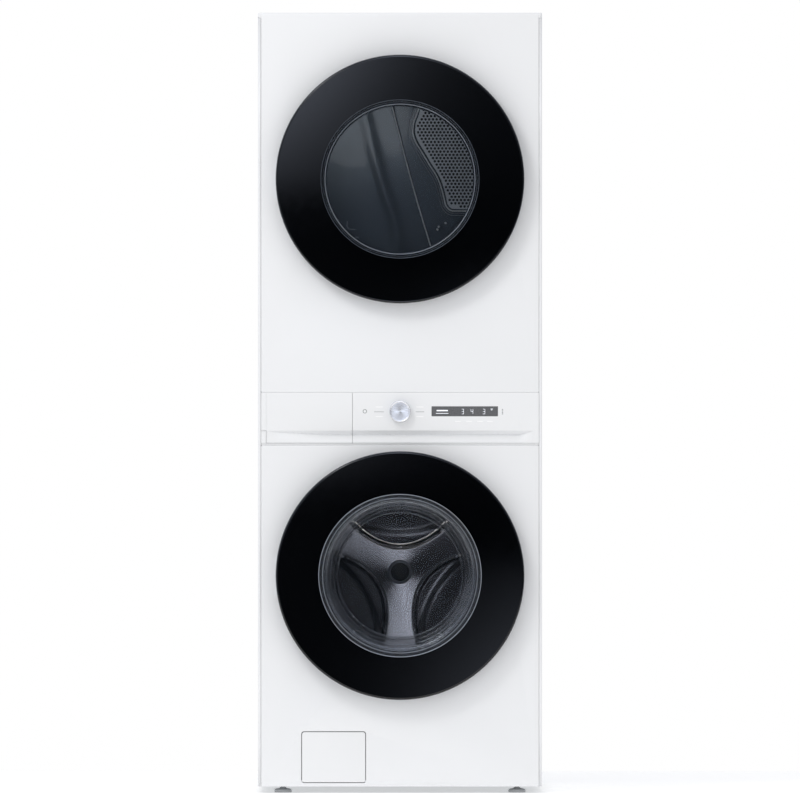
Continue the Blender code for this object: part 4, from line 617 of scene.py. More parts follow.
def step_of(tree, kind, settings=None, **links):
    """The first output of a new geometry node."""
    return put(tree, "GeometryNode" + kind, settings, **links).outputs[0]


def both(tree, first, second):
    """Two geometries joined."""
    node = tree.nodes.new("GeometryNodeJoinGeometry")
    for geometry in (first, second):
        tree.links.new(geometry, node.inputs[0])
    return node.outputs[0]


def close_tree(tree, came, out, geometry):
    """Ends a tree: instances made real, then the material."""
    real = step_of(tree, "RealizeInstances", Geometry=geometry)
    painted = step_of(tree, "SetMaterial", Geometry=real, Material=came["Material"])
    tree.links.new(painted, out.inputs[0])
    return tree


def run_tree(name, tree, mesh, finish, smooth=30, **values):
    """Runs a tree on a mesh and gives a plain mesh object."""
    made = bpy.data.objects.new(name, mesh)
    change = made.modifiers.new("Nodes", "NODES")
    change.node_group = tree
    for item in tree.interface.items_tree:
        if item.in_out == "INPUT" and item.name in values:
            change[item.identifier] = values[item.name]
        if item.in_out == "INPUT" and item.name == "Material":
            change[item.identifier] = FINISHES[finish]
    return show(name, evaluated(made), finish, smooth)


def perforated_tree():
    """The mesh's outline filled, with a round hole at every loose point, and given thickness."""
    inputs = {"Hole_Radius": "Float", "Hole_Sides": "Int", "Thickness": "Float"}
    tree, came, out = geometry_tree("Perforated sheet", **inputs)
    flag = put(tree, "GeometryNodeInputNamedAttribute", {"data_type": "BOOLEAN"}, Name="hole")
    marked = flag.outputs["Attribute"]
    dots = step_of(tree, "MeshToPoints", Mesh=came[0], Selection=marked)
    sides, radius = came["Hole Sides"], came["Hole Radius"]
    hole = step_of(tree, "CurvePrimitiveCircle", Resolution=sides, Radius=radius)
    placed = step_of(tree, "InstanceOnPoints", Points=dots, Instance=hole)
    real = step_of(tree, "RealizeInstances", Geometry=placed)
    outline = step_of(tree, "MeshToCurve", Mesh=came[0])
    filled = step_of(tree, "FillCurve", Curve=both(tree, real, outline))
    deep = came["Thickness"]
    raised = step_of(tree, "ExtrudeMesh", Mesh=filled, Offset_Scale=deep, Individual=False)
    whole = both(tree, raised, step_of(tree, "FlipFaces", Mesh=filled))
    merged = step_of(tree, "MergeByDistance", Geometry=whole, Distance=1e-5)
    return close_tree(tree, came, out, merged)


def scatter_tree():
    """Puts the piece given as an object on every point of the mesh, turned by the point's angle."""
    tree, came, out = geometry_tree("Set on points", Part="Object")
    info = put(tree, "GeometryNodeObjectInfo", Object=came["Part"])
    angle = put(tree, "GeometryNodeInputNamedAttribute", {"data_type": "FLOAT_VECTOR"}, Name="turn")
    turn = put(tree, "FunctionNodeEulerToRotation", Euler=angle.outputs["Attribute"]).outputs[0]
    dots = step_of(tree, "MeshToPoints", Mesh=came[0])
    part = info.outputs["Geometry"]
    placed = step_of(tree, "InstanceOnPoints", Points=dots, Instance=part, Rotation=turn)
    return close_tree(tree, came, out, placed)


def coil_tree():
    """A coil spring with straight ends along the mesh's own path."""
    tree, came, out = geometry_tree("Coil", Wire="Float")
    path = step_of(tree, "MeshToCurve", Mesh=came[0])
    wire = step_of(tree, "CurvePrimitiveCircle", Resolution=10, Radius=came["Wire"])
    swept = step_of(tree, "CurveToMesh", Curve=path, Profile_Curve=wire, Fill_Caps=True)
    return close_tree(tree, came, out, swept)


TREES = {}


def tree_of(kind):
    makers = {"perforated": perforated_tree, "scatter": scatter_tree, "coil": coil_tree}
    if kind not in TREES:
        TREES[kind] = makers[kind]()
    return TREES[kind]


def inside(point, outline):
    x, z = point
    hit = False
    for (x0, z0), (x1, z1) in zip(outline, outline[1:] + outline[:1]):
        if (z0 > z) != (z1 > z) and x < x0 + (z - z0) * (x1 - x0) / (z1 - z0):
            hit = not hit
    return hit


def clear_of(point, outline, gap):
    """True where a point keeps the gap from an outline."""
    p = np.array(point)
    a = np.array(outline)
    b = np.roll(a, -1, 0)
    along = b - a
    share = np.clip(((p - a) * along).sum(1) / np.maximum((along**2).sum(1), 1e-12), 0, 1)
    return np.hypot(*(a + along * share[:, None] - p).T).min() > gap


def perforated_plate(name, outline, pitch, hole, thickness, margin, finish, sides=10):
    """A flat sheet with a hexagonal pattern of holes, in the local XY plane."""
    count = len(outline)
    xs, zs = [p[0] for p in outline], [p[1] for p in outline]
    rows = pitch * math.sqrt(3) / 2
    dots = []
    for j in range(int((max(zs) - min(zs)) / rows) + 2):
        for i in range(int((max(xs) - min(xs)) / pitch) + 2):
            spot = (min(xs) + (i + 0.5 * (j % 2)) * pitch, min(zs) + j * rows)
            if inside(spot, outline) and clear_of(spot, outline, hole + margin):
                dots.append(spot)
    edges = [(i, (i + 1) % count) for i in range(count)]
    mesh = new_mesh(name, [(*p, 0) for p in outline + dots], [], edges)
    flag = mesh.attributes.new("hole", "BOOLEAN", "POINT")
    flag.data.foreach_set("value", [False] * count + [True] * len(dots))
    values = {"Hole Radius": hole, "Hole Sides": sides, "Thickness": thickness}
    return run_tree(name, tree_of("perforated"), mesh, finish, 0, **values)


def set_on_points(name, part, spots, finish):
    """Copies of a small part on spots of (x, y, z) or (x, y, z, turn about X, Y, Z)."""
    mesh = new_mesh(name, [s[:3] for s in spots], [])
    turn = mesh.attributes.new("turn", "FLOAT_VECTOR", "POINT")
    turn.data.foreach_set("vector", [a for s in spots for a in (s[3:] or (0.0, 0.0, 0.0))])
    made = run_tree(name, tree_of("scatter"), mesh, finish, Part=part)
    bpy.data.objects.remove(part)
    return made


# ---- cabinet sheets ----------------------------------------------------------------------------
LID_SKIRT = 0.0132
BACK_FOLD = 0.014
FOLD_RADIUS = 0.0035


def side_panel(name, sign):
    """A side sheet folded round at the front and the back."""
    front, back, inner = FRONT_Y + 0.001, BACK_Y, HALF - FOLD_RADIUS
    path = [(FACE_HALF + 0.0004, front)]
    bends = [math.radians(90 * i / 8) for i in range(9)]
    bow = [(FOLD_RADIUS * math.sin(a), FOLD_RADIUS * math.cos(a)) for a in bends]
    path += [(inner + across, front + FOLD_RADIUS - along) for across, along in bow]
    path += [(inner + along, back - FOLD_RADIUS + across) for across, along in bow]
    path.append((HALF - BACK_FOLD, back))
    low, high = FLOOR_GAP, TOP - LID_SKIRT
    levels = [low, low + 0.3, high - 0.3, high]
    verts = [(sign * x, y, z) for z in levels for x, y in path]
    mesh = new_mesh(name, verts, strips(len(levels), len(path), closed=False))
    if sign < 0:
        mesh.flip_normals()
    return thickened(show(name, mesh, "white_enamel"), SHEET)


def make_cabinet():
    for side, sign in (("left", -1), ("right", 1)):
        sheet = side_panel(f"side_sheet_{side}", sign)
        ride_on("cabinet", sheet, slot="white_enamel", stands_for=[f"side_panel_{side}"])
    half, edge = 0.0055, 0.002
    outline = rounded(-HALF, HALF, FRONT_Y + 0.001, BACK_Y, 0.006)
    mesh = cut_sheet("top_lid", [outline], half, edge, 4)
    open_behind(mesh, half)
    mesh.transform(Matrix.Translation((0, 0, TOP - half - edge)))
    lid = thickened(show("top_lid", mesh, "white_enamel"), SHEET)
    ride_on("cabinet", lid, slot="white_enamel", stands_for=["top_cover"])


def latch_slot(z):
    x = (OPENING_RADIUS + DOOR_RADIUS) / 2
    return rounded(x - 0.008, x + 0.008, z - 0.014, z + 0.014, 0.003)


def front_sheet(name, low, high, centre_z, *openings):
    holes = [circle(OPENING_RADIUS, 0, centre_z), latch_slot(centre_z), *openings]
    outline = rounded(-FACE_HALF, FACE_HALF, low, high, 0.003)
    sheet = pressed(name, [outline, *holes], 0.012, sizes().edge * 0.5, "white_enamel")
    ride_on("cabinet", sheet, slot="white_enamel", stands_for=[name + "_panel"])


def make_fronts():
    low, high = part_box("filter_hatch")
    gap = 0.0015
    left, right = low.x + HATCH_INSET - gap, high.x - HATCH_INSET + gap
    hatch = rounded(left, right, low.z - gap, high.z + gap, 0.0065)
    front_sheet("washer_front", FLOOR_GAP, WASHER_TOP + 0.0021, WASHER_Z, hatch)
    front_sheet("dryer_front", DRYER_LOW, DRYER_HIGH, DRYER_Z)


def make_feet():
    profile = [(0.0, 0.0), (0.0195, 0.0), (0.021, 0.0015), (0.021, 0.006), (0.018, 0.009)]
    profile += [(0.0085, 0.0105), (0.0085, 0.0125), (0.0055, 0.0130)]
    profile += [(0.0055 if i % 2 else 0.0048, 0.0130 + 0.0012 * i) for i in range(1, 20)]
    profile += [(0.0, 0.0370)]
    count = 40
    angles = np.linspace(0, 2 * math.pi, count, endpoint=False)
    for end, side in (("front", "left"), ("front", "right"), ("rear", "left"), ("rear", "right")):
        node = f"foot_{end}_{side}"
        centre = middle(node)
        verts = [(centre.x + radius * math.cos(a), centre.y + radius * math.sin(a), z) for radius,
            z in profile for a in angles]
        mesh = tidy_mesh(new_mesh(node, verts, strips(len(profile), count)))
        foot = show(f"levelling_{end}_{side}", mesh, "tub_plastic")
        ride_on("cabinet", foot, slot="tub_plastic", stands_for=[node])


# ---- back of the cabinet -----------------------------------------------------------------------
BACK_FACE = BACK_Y - 0.0012
VENT_X = 0.020
VENT_BORE = 0.0516
VALVE_BORE = 0.0128


def back_sheet(machine, low, high, *openings):
    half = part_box("dryer_back_panel")[1].x
    outline = rounded(-half, half, low, high, 0.004)
    name = f"{machine}_back_sheet"
    sheet = pressed(name, [outline, *openings], 0.002, 0.0006, "galvanised", BACK_FACE, -1, 0.0008)
    ride_on("cabinet", sheet, slot="galvanised", stands_for=[f"{machine}_back_panel"])
    return half


def make_backs():
    valve_z = middle("water_inlet_valve").z
    bores = [circle(VALVE_BORE, x, valve_z, 40) for x in (-0.030, 0.030)]
    back_sheet("washer", FLOOR_GAP + 0.001, CONTROL_HIGH, *bores)
    vent = circle(VENT_BORE, VENT_X, middle("blower_housing").z, 64)
    half = back_sheet("dryer", DRYER_LOW, TOP - 0.017, vent)
    low, high = (-0.0045, -0.0009, -0.13), (0.0045, 0.0016, 0.13)
    rib = box_piece("rib", low, high, 0.0012, "galvanised", 3)
    spots = [(x, BACK_FACE, 0.30) for x in (-0.22, -0.11, 0.0, 0.11)]
    spots += [(x, BACK_FACE, 1.56) for x in (-0.22, -0.11, 0.0, 0.11, 0.22)]
    ribs = set_on_points("back_ribs", rib, spots, "galvanised")
    bow = [(-0.030, 0, 0), (-0.026, 0.0012, 0), (0.026, 0.0012, 0), (0.030, 0, 0)]
    louvre = tube("louvre", bow, 0.0022, "galvanised")
    spots = [(x, BACK_FACE, z) for x in (0.13, 0.21) for z in np.arange(1.06, 1.25, 0.012)]
    louvres = set_on_points("back_louvres", louvre, spots, "galvanised")
    head = [(0.0, 0.0008), (0.0012, 0.0008), (0.0014, 0.0022), (0.0032, 0.0022)]
    head += [(0.0042, 0.0012), (0.0044, -0.0006), (0.0, -0.0006)]
    screw = turned("screw", head, "steel", 0.0, segments=16)
    screw.data.transform(Matrix.Rotation(math.pi, 4, "Z") @ Matrix.Translation((0, -FRONT_Y, 0)))
    heights = [0.045, 0.25, 0.45, 0.66, 0.86, 0.95, 0.985, 1.20, 1.42, 1.64, 1.855]
    spots = [(x, BACK_FACE, z) for z in heights for x in (-half + 0.01, half - 0.01)]
    spots += [(x, BACK_FACE, z) for x in (-0.2, 0.0, 0.2) for z in (0.95, 0.985, 1.855)]
    screws = set_on_points("back_screws", screw, spots, "steel")
    low, high = (-0.285, BACK_Y - 0.0006, 1.0481), (-0.175, BACK_Y + 0.012, 1.1281)
    cover = box_piece("terminal_lid", low, high, 0.003, "galvanised", 3)
    stub = spigot("drain_spigot", 0.240, FLOOR_GAP + 0.084, 0.013, 0.0095, DUCT_END - 0.004)
    ride_on("cabinet", ribs, louvres, cover, slot="galvanised")
    ride_on("cabinet", screws, slot="steel")
    ride_on("cabinet", stub, slot="dark_plastic")


def spigot(name, x, z, outer, bore, end):
    """A barbed stub out of the back, open at its end."""
    start = BACK_Y - 0.0006 - FRONT_Y
    tip = end - FRONT_Y
    profile = [(outer + 0.004, -start), (outer + 0.004, -start - 0.002),
        (outer - 0.0012, -start - 0.003)]
    root, barbs = start + 0.004, 3
    for i in range(barbs):
        a, b = (root + (tip - root) * k / barbs for k in (i, i + 1))
        profile += [(outer, -a), (outer - 0.0012, -b)]
    profile += [(bore, -tip), (bore, -start - 0.001), (0.0, -start - 0.001), (0.0, -start)]
    return turned(name, profile, "dark_plastic", z, x, 48)


# ---- control panel and drawer ------------------------------------------------------------------
def groove_share(x):
    """The groove's share of its full depth at x: an abrupt right end, a drawn out left end."""
    if x > 0:
        return max(0.0, min(1.0, (GROOVE_END - x) / GROOVE_TAPER))
    wall = max(0.0, min(1.0, (x + GROOVE_END) / 0.034))
    run = max(0.0, min(1.0, (x + GROOVE_END) / 0.17))
    return 0.34 * wall ** 0.6 + 0.66 * run * run * (3 - 2 * run)


def panel_section(share, low, high, with_sill):
    """The control panel's section as (depth, height) from the top of its back to the bottom."""
    deep = GROOVE_DEPTH * share
    apex = GROOVE_HIGH - 0.009 * share
    out = [(RAIL, high), (0.0005, high), (0.0001, high - 0.0002), (0.0, high - 0.0006)]
    out += [(0.0, 0.93), (0.0, GROOVE_HIGH + 0.0012)]
    out += [(0.0004 * share, GROOVE_HIGH + 0.0004), (0.0014 * share, GROOVE_HIGH)]
    out += [(deep * 0.92, apex + 0.0010 * share), (deep, apex - 0.0002),
        (deep * 0.97, apex - 0.0016)]
    for t in (0.25, 0.5, 0.75):
        bulge = 0.06 * math.sin(math.pi * t)
        out.append((deep * (1 - t - bulge), apex + (GROOVE_LOW + 0.0012 - apex) * t))
    if with_sill:
        out += [(0.0006 * share, GROOVE_LOW + 0.0004), (0.0, GROOVE_LOW - 0.0006)]
        out += [(0.0, low + 0.0008), (0.0008, low), (RAIL, low)]
    else:
        out += [(0.0008, low + 0.0004), (0.0012, low), (RAIL, low)]
    return out


def panel_loft(name, left, right, low, high, with_sill):
    stations = {left, right}
    for sign in (-1, 1):
        for i in range(10):
            stations.add(sign * (GROOVE_END - GROOVE_TAPER * i / 9))
    stations |= {x * 0.04 for x in range(-8, 9)} | {-GROOVE_END + 0.0085 * i for i in range(21)}
    stations |= {-GROOVE_END + d for d in (0.0005, 0.0012, 0.0022, 0.0036, 0.0056)}
    stations = sorted(x for x in stations if left <= x <= right)
    sections = [panel_section(groove_share(x), low, high, with_sill) for x in stations]
    n = len(sections[0])
    verts = [(x, FRONT_Y + d, z) for x, s in zip(stations, sections) for d, z in s]
    last = (len(stations) - 1) * n
    faces = strips(len(stations), n) + [range(n), range(last + n - 1, last - 1, -1)]
    return show(name, tidy_mesh(new_mesh(name, verts, faces)), "white_plastic", 25)


def bar(x, z, width, height):
    w, h = width / 2, height / 2
    return [(x - w, z - h), (x + w, z - h), (x + w, z + h), (x - w, z + h)]


def digit(value, x, z, width, height, stroke):
    """A figure of seven bars, as outlines."""
    on = {3: "abgcd", 4: "fgbc"}[value]
    w, h = width / 2, height / 2
    places = {"a": bar(x, z + h, width, stroke), "g": bar(x, z, width, stroke),
        "d": bar(x, z - h, width, stroke), "b": bar(x + w, z + h / 2, stroke, h),
        "c": bar(x + w, z - h / 2, stroke, h), "f": bar(x - w, z + h / 2, stroke, h),
        "e": bar(x - w, z - h / 2, stroke, h)}
    return [places[s] for s in on]


def marks(name, outlines, finish, front=0.00012):
    """Several flat marks as one mesh."""
    work = bmesh.new()
    for outline in outlines:
        rear = [work.verts.new((x, proud(front - 0.0002), z)) for x, z in outline]
        face = [work.verts.new((x, proud(front), z)) for x, z in outline]
        count = len(outline)
        work.faces.new(face)
        work.faces.new(rear[::-1])
        for i in range(count):
            work.faces.new((face[i], rear[i], rear[(i + 1) % count], face[(i + 1) % count]))
    bmesh.ops.recalc_face_normals(work, faces=work.faces)
    return show(name, finished_mesh(name, work), finish, 0)


def make_controls():
    gap = 0.0004
    edge = DRAWER_EDGE + 2 * gap
    fascia = panel_loft("control_panel", edge, FACE_HALF, CONTROL_LOW, PANEL_HIGH, True)
    corner = rounded(-FACE_HALF, -GROOVE_END - gap, CONTROL_LOW, GROOVE_HIGH - gap, 0.0005, 3)
    under = slab("control_corner", [corner], 0.0, RAIL, 0.0004, "white_plastic")
    low, high = WASHER_TOP + 0.0028, CONTROL_LOW - 0.0006
    line = rounded(-FACE_HALF, FACE_HALF, low, high, 0.0005, 3)
    strip = slab("control_underline", [line], -0.0006, RAIL, 0.0004, "white_plastic")
    ride_on("cabinet", fascia, under, strip, slot="white_plastic", stands_for=["control_fascia"])

    low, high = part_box("display_window")
    outline = rounded(low.x, high.x, low.z, high.z, 0.0012, 4)
    glass = slab("display_pane", [outline], 0.0001, 0.003, 0.0, "display_glass")
    ride_on("cabinet", glass, slot="display_glass", stands_for=["display_window"])
    z = (low.z + high.z) / 2
    strokes = []
    for value, x in ((3, 0.1513), (4, 0.1738), (3, 0.2027)):
        strokes += digit(value, x, z - 0.0005, 0.0048, 0.0115, 0.0008)
    strokes += [bar(0.1020, z + 0.0018, 0.027, 0.0030), bar(0.1020, z - 0.0050, 0.030, 0.0012)]
    strokes += [bar(0.2215, z + 0.0055, 0.005, 0.0014), bar(0.2215, z + 0.0030, 0.0025, 0.0012)]
    ride_on("cabinet", marks("display_figures", strokes, "display_light", 0.00022))

    line_z = DIAL_Z - 0.0013
    greys = [bar(-0.0508, line_z, 0.0235, 0.0010), bar(0.0483, line_z, 0.0205, 0.0010)]
    greys += [bar(0.2476, z + 0.0045 - 0.0036 * i, 0.0030, 0.0018) for i in range(4)]
    rings = [circle(radius, -0.0850, DIAL_Z, 48) for radius in (0.0050, 0.0036)]
    ring = slab("power_mark", rings, 0.00012, 0.0002, 0.0, "print_grey")
    rows = (DIAL_Z + 0.0105, DIAL_Z - 0.0125)
    whites = [bar(x, row, 0.017, 0.0018) for x in (-0.050, 0.048) for row in rows]
    whites += [bar(x, 0.8978, 0.013, 0.0016) for x in (0.1400, 0.1666, 0.1932, 0.2174)]
    ride_on("cabinet", marks("panel_marks", greys, "print_grey"), ring)
    ride_on("cabinet", marks("panel_legends", whites, "print_white"))

    radius, tall = 0.026, 0.020
    profile = [(0.0, tall - 0.0016), (0.0200, tall - 0.0016), (0.0218, tall - 0.0014)]
    profile += [(0.0230, tall - 0.0004), (0.0240, tall), (0.0250, tall - 0.0003)]
    profile += [(0.0257, tall - 0.0011), (0.0260, tall - 0.0024), (0.0260, 0.0016)]
    profile += [(0.0255, 0.0004), (0.0030, 0.0004), (0.0030, -0.0178), (0.0, -0.0178)]
    knob = turned("dial_turned", profile, "dial_metal", DIAL_Z, 0.0, 128)
    ride_on("dial", knob, slot="dial_metal", stands_for=["dial_knob"])


def make_drawer():
    low = CONTROL_LOW + 0.0003
    left = -GROOVE_END + 0.0002
    front = panel_loft("drawer_face", left, DRAWER_EDGE, low, PANEL_HIGH, False)
    end = box_piece("drawer_end", (-FACE_HALF, FRONT_Y, GROOVE_HIGH + 0.0004),
        (left + 0.0002, FRONT_Y + RAIL, PANEL_HIGH), 0.0, "white_plastic")
    front = joined(front, end)
    ride_on("drawer", front, slot="white_plastic", stands_for=["drawer_front"])
    low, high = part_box("drawer_tray")
    wall = 0.0025
    shell = tray_piece("detergent_tray", low, high, wall, "white_plastic")
    for share in (0.36, 0.68):
        x = low.x + share * (high.x - low.x)
        start = (x, low.y + wall / 2, low.z + wall / 2)
        end = (x + wall, high.y - wall / 2, high.z - 0.004)
        shell = joined(shell, box_piece("tray_wall", start, end, 0.0008, "white_plastic"))
    ride_on("drawer", shell, slot="white_plastic", stands_for=["drawer_tray"])


def tray_piece(name, low, high, wall, finish):
    """An open tray with rounded corners and a small lip."""
    radius, deep = 0.010, high.z - low.z
    levels = [(0.0, 0.004, radius), (0.0012, 0.0012, radius), (0.004, 0.0, radius)]
    levels += [(deep, 0.0, radius), (deep, wall, radius - wall / 2)]
    levels += [(wall + 0.004, wall, radius - wall / 2), (wall, wall + 0.004, radius - wall / 2)]
    verts = []
    for z, inset, corner in levels:
        sides = (low.x + inset, high.x - inset, low.y + inset, high.y - inset)
        verts += [(x, y, low.z + z) for x, y in rounded(*sides, corner)]
    n = len(verts) // len(levels)
    last = len(verts) - n
    faces = strips(len(levels), n) + [range(n - 1, -1, -1), range(last, last + n)]
    return show(name, tidy_mesh(new_mesh(name, verts, faces)), finish)


# ---- doors -------------------------------------------------------------------------------------
DOME = 0.0020
PANE_INSET = 0.0018
PANE_THICK = 0.005
# radius, proud and thickness of the fine steps that ring the bowl
BOWL_STEPS = [(0.1824, 0.0150, 0.0014), (0.1787, 0.0035, 0.0022), (0.1745, -0.0095, 0.0012)]
BOWL_STEPS += [(0.1690, -0.0270, 0.0017), (0.1605, -0.0510, 0.0010)]


def domed(radius):
    """The pane's front is very slightly domed."""
    return DOOR_PROUD - DOME * (radius / DOOR_RADIUS) ** 2


def pane(machine, z, clear):
    """The black glass: an outer border with the clear window set into it."""
    outer, back = DOOR_RADIUS - PANE_INSET, DOOR_PROUD - PANE_THICK
    steps = [clear + (outer - 0.0034 - clear) * i / 10 for i in range(11)] + [outer - 0.0026]
    rim = domed(outer)
    face = [(r, domed(r)) for r in steps]
    face += [(outer - 0.0015, rim - 0.0003), (outer - 0.0004, rim - 0.0011), (outer, rim - 0.0024)]
    face += [(outer, back), (clear, back)]
    border = turned(f"{machine}_pane_border", face, "black_glass", z)
    edge = clear - 0.0018
    face = [(edge * i / 8, domed(edge * i / 8)) for i in range(9)]
    window = turned(f"{machine}_window", [*face, (edge, back), (0.0, back)], "window_glass", z)
    return border, window


def door_ring(machine, z):
    """The moulded ring behind the glass, notched for the hinge, with its latch hook."""
    outer, rim = DOOR_RADIUS - PANE_INSET, domed(DOOR_RADIUS - PANE_INSET)
    back, front, inner, shoulder = 0.012, DOOR_PROUD, WINDOW_RADIUS + 0.004, DOOR_RADIUS - 0.022
    seat = front - 0.0053
    profile = [(outer + 0.0003, rim - 0.0016), (DOOR_RADIUS - 0.0008, rim - 0.0019),
        (DOOR_RADIUS - 0.0002, rim - 0.0026), (DOOR_RADIUS, rim - 0.0040),
        (DOOR_RADIUS, front - 0.0125), (DOOR_RADIUS - 0.0015, front - 0.0165),
        (shoulder + 0.004, back + 0.0015), (shoulder, back), (inner + 0.001, back),
        (inner, back + 0.001), (inner, back + 0.003), (shoulder - 0.003, back + 0.003),
        (DOOR_RADIUS - 0.006, front - 0.013), (DOOR_RADIUS - 0.006, seat), (outer + 0.0003, seat)]
    ring = turned(f"{machine}_door_ring", profile, "door_trim", z)
    corner = (-DOOR_RADIUS - 0.02, proud(0.0345), z - 0.046)
    notch = box_piece("notch", corner, (-0.2805, proud(-0.01), z + 0.046), 0.0, "door_trim")
    ring = carved(ring, notch, "door_trim")
    x = (0.212 + DOOR_RADIUS) / 2 - 0.004
    low, high = (x, proud(back + 0.002), z - 0.010), (x + 0.005, proud(-0.020), z + 0.010)
    stem = box_piece("stem", low, high, 0.0006, "door_trim")
    low, high = (x, proud(-0.014), z - 0.010), (x + 0.008, proud(-0.020), z + 0.010)
    return joined(ring, stem, box_piece("barb", low, high, 0.0012, "door_trim"))


def make_door(machine, z, clear, glass_wall, glass_floor, wall_finish, edge_finish):
    body = f"{machine}_door"
    border, window = pane(machine, z, clear)
    ride_on(body, border, slot="black_glass", stands_for=[f"{body}_pane"])
    ride_on(body, window, slot="black_glass")
    ring = door_ring(machine, z)
    ride_on(body, ring, slot="door_trim", stands_for=[f"{body}_frame"])
    wall = turned(f"{machine}_glass_wall", glass_wall, wall_finish, z)
    floor = turned(f"{machine}_glass_floor", glass_floor, "clear_glass", z)
    ride_on(body, wall, floor, slot="clear_glass", stands_for=[f"{body}_glass"])
    back, face = DOOR_PROUD - PANE_THICK, domed(clear)
    profile = [(clear - 0.0017, back), (clear - 0.0017, face - 0.0004)]
    profile += [(clear - 0.0013, face - 0.0001), (clear - 0.0009, face)]
    profile += [(clear - 0.0004, face - 0.0001), (clear - 0.0001, face - 0.0004)]
    profile += [(clear - 0.0001, back)]
    ride_on(body, turned(f"{machine}_window_edge", profile, edge_finish, z))


def bead(name, radius, out, thick, finish, z):
    """A thin turned ring of round section."""
    steps = [2 * math.pi * i / 10 for i in range(10)]
    profile = [(radius + thick * math.cos(a), out + thick * math.sin(a)) for a in steps]
    return turned(name, profile, finish, z, smooth=60)


def make_doors():
    # Window edges and rings take the light or the dim rim finish: painted highlight and painted
    # shade.
    make_door("washer", WASHER_Z, WINDOW_RADIUS, *washer_glass(), "bowl_glass", "rim_light")
    make_door("dryer", DRYER_Z, DRYER_WINDOW_RADIUS, *dryer_glass(), "dish_glass", "rim_dim")
    rings = [bead("bowl_mouth_ring", 0.1868, 0.0405, 0.0011, "rim_light", WASHER_Z),
        bead("bowl_foot_ring", 0.1512, -0.0790, 0.0013, "rim_metal", WASHER_Z),
        bead("bowl_step_ring", 0.1570, -0.0700, 0.0009, "rim_dim", WASHER_Z)]
    rings += [bead(f"bowl_ring_{i}", *step, "rim_metal", WASHER_Z) for i,
        step in enumerate(BOWL_STEPS)]
    ride_on("washer_door", *rings, slot="clear_glass")
    dish = bead("dish_ring", 0.1812, 0.0330, 0.0013, "rim_light", DRYER_Z)
    outer = bead("dish_outer_ring", 0.1862, 0.0400, 0.0009, "rim_dim", DRYER_Z)
    ride_on("dryer_door", dish, outer, slot="clear_glass")


def ridged(a, b, count, height):
    """A cone's wall with fine rings on its inner side, as profile points from a to b."""
    (r0, p0), (r1, p1) = a, b
    out = []
    for i in range(count * 2 + 1):
        t = i / (count * 2)
        lift = height if i % 2 else 0.0
        out.append((r0 + (r1 - r0) * t - lift, p0 + (p1 - p0) * t))
    return out


def washer_glass():
    """The bowl's ridged wall and its crowned end, as two profiles."""
    lip, wall, end, depth = 0.039, 0.004, 0.152, 0.085
    top = WINDOW_RADIUS - 0.004
    start, stop = (top - wall, lip - 0.004), (end - wall + 0.002, -depth + wall + 0.006)
    inside = ridged(start, stop, 9, 0.0007)
    sleeve = [(top - wall + 0.001, lip), (top - wall, lip - 0.001), *inside]
    sleeve += [(end - 0.0026, -depth + wall + 0.002), (end, -depth + wall),
        (end + 0.001, -depth + 0.006)]
    sleeve += [(top, lip - wall), (WINDOW_RADIUS + 0.001, lip - wall), (WINDOW_RADIUS + 0.001, lip)]
    steps = (0.0, 0.2, 0.4, 0.6, 0.8, 0.94)
    crown = [(end * t, -depth - 0.007 * (1 - t * t) + wall - 0.0004) for t in steps[::-1]]
    under = [(end * t, -depth - 0.007 * (1 - t * t)) for t in steps]
    rim = [(end - 0.0006, -depth + 0.0014), (end - 0.0010, -depth + wall - 0.0006)]
    return sleeve, [*crown, *under, *rim]


def dryer_glass():
    """The shallow dish's wall and its flat floor, as two profiles."""
    lip, wall, depth = 0.039, 0.004, 0.033
    radius = 0.191
    foot = radius - wall - 0.009
    sleeve = [(radius - wall + 0.001, lip), (radius - wall, lip - 0.001)]
    sleeve += ridged((radius - wall, lip - 0.004), (foot, 0.002), 3, 0.0006)
    sleeve += [(foot - 0.001, -depth + wall + 0.0006),
        (foot + wall - 0.001, -depth + wall + 0.0006)]
    sleeve += [(radius, lip - wall), (WINDOW_RADIUS + 0.001, lip - wall),
        (WINDOW_RADIUS + 0.001, lip)]
    edge = foot + wall - 0.002
    floor = [(0.0, -depth + wall), (0.10, -depth + wall), (edge - 0.003, -depth + wall)]
    floor += [(edge, -depth + wall - 0.002), (edge - 0.001, -depth + 0.0006),
        (edge - 0.003, -depth)]
    floor += [(0.10, -depth), (0.0, -depth)]
    return sleeve, floor


# ---- washer inside -----------------------------------------------------------------------------
def make_gasket():
    neck = 0.2057
    lip = 0.176 + 0.0018
    folds = [(0.2099, -0.0012), (0.2096, -0.0100), (0.196, -0.0165), (lip + 0.001, -0.0235)]
    folds += [(lip + 0.006, -0.0290), (neck - 0.004, -0.0340), (neck - 0.012, -0.0440)]
    folds += [(neck - 0.006, -0.0500), (neck - 0.013, -0.0590), (neck - 0.0025, -0.0690)]
    folds += [(neck - 0.0018, -0.0860)]
    wall = thick_path(smooth_path(folds, 5), 0.0032)
    boot = turned("door_boot", wall, "grey_rubber", WASHER_Z)
    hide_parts("door_gasket")
    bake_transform(boot)


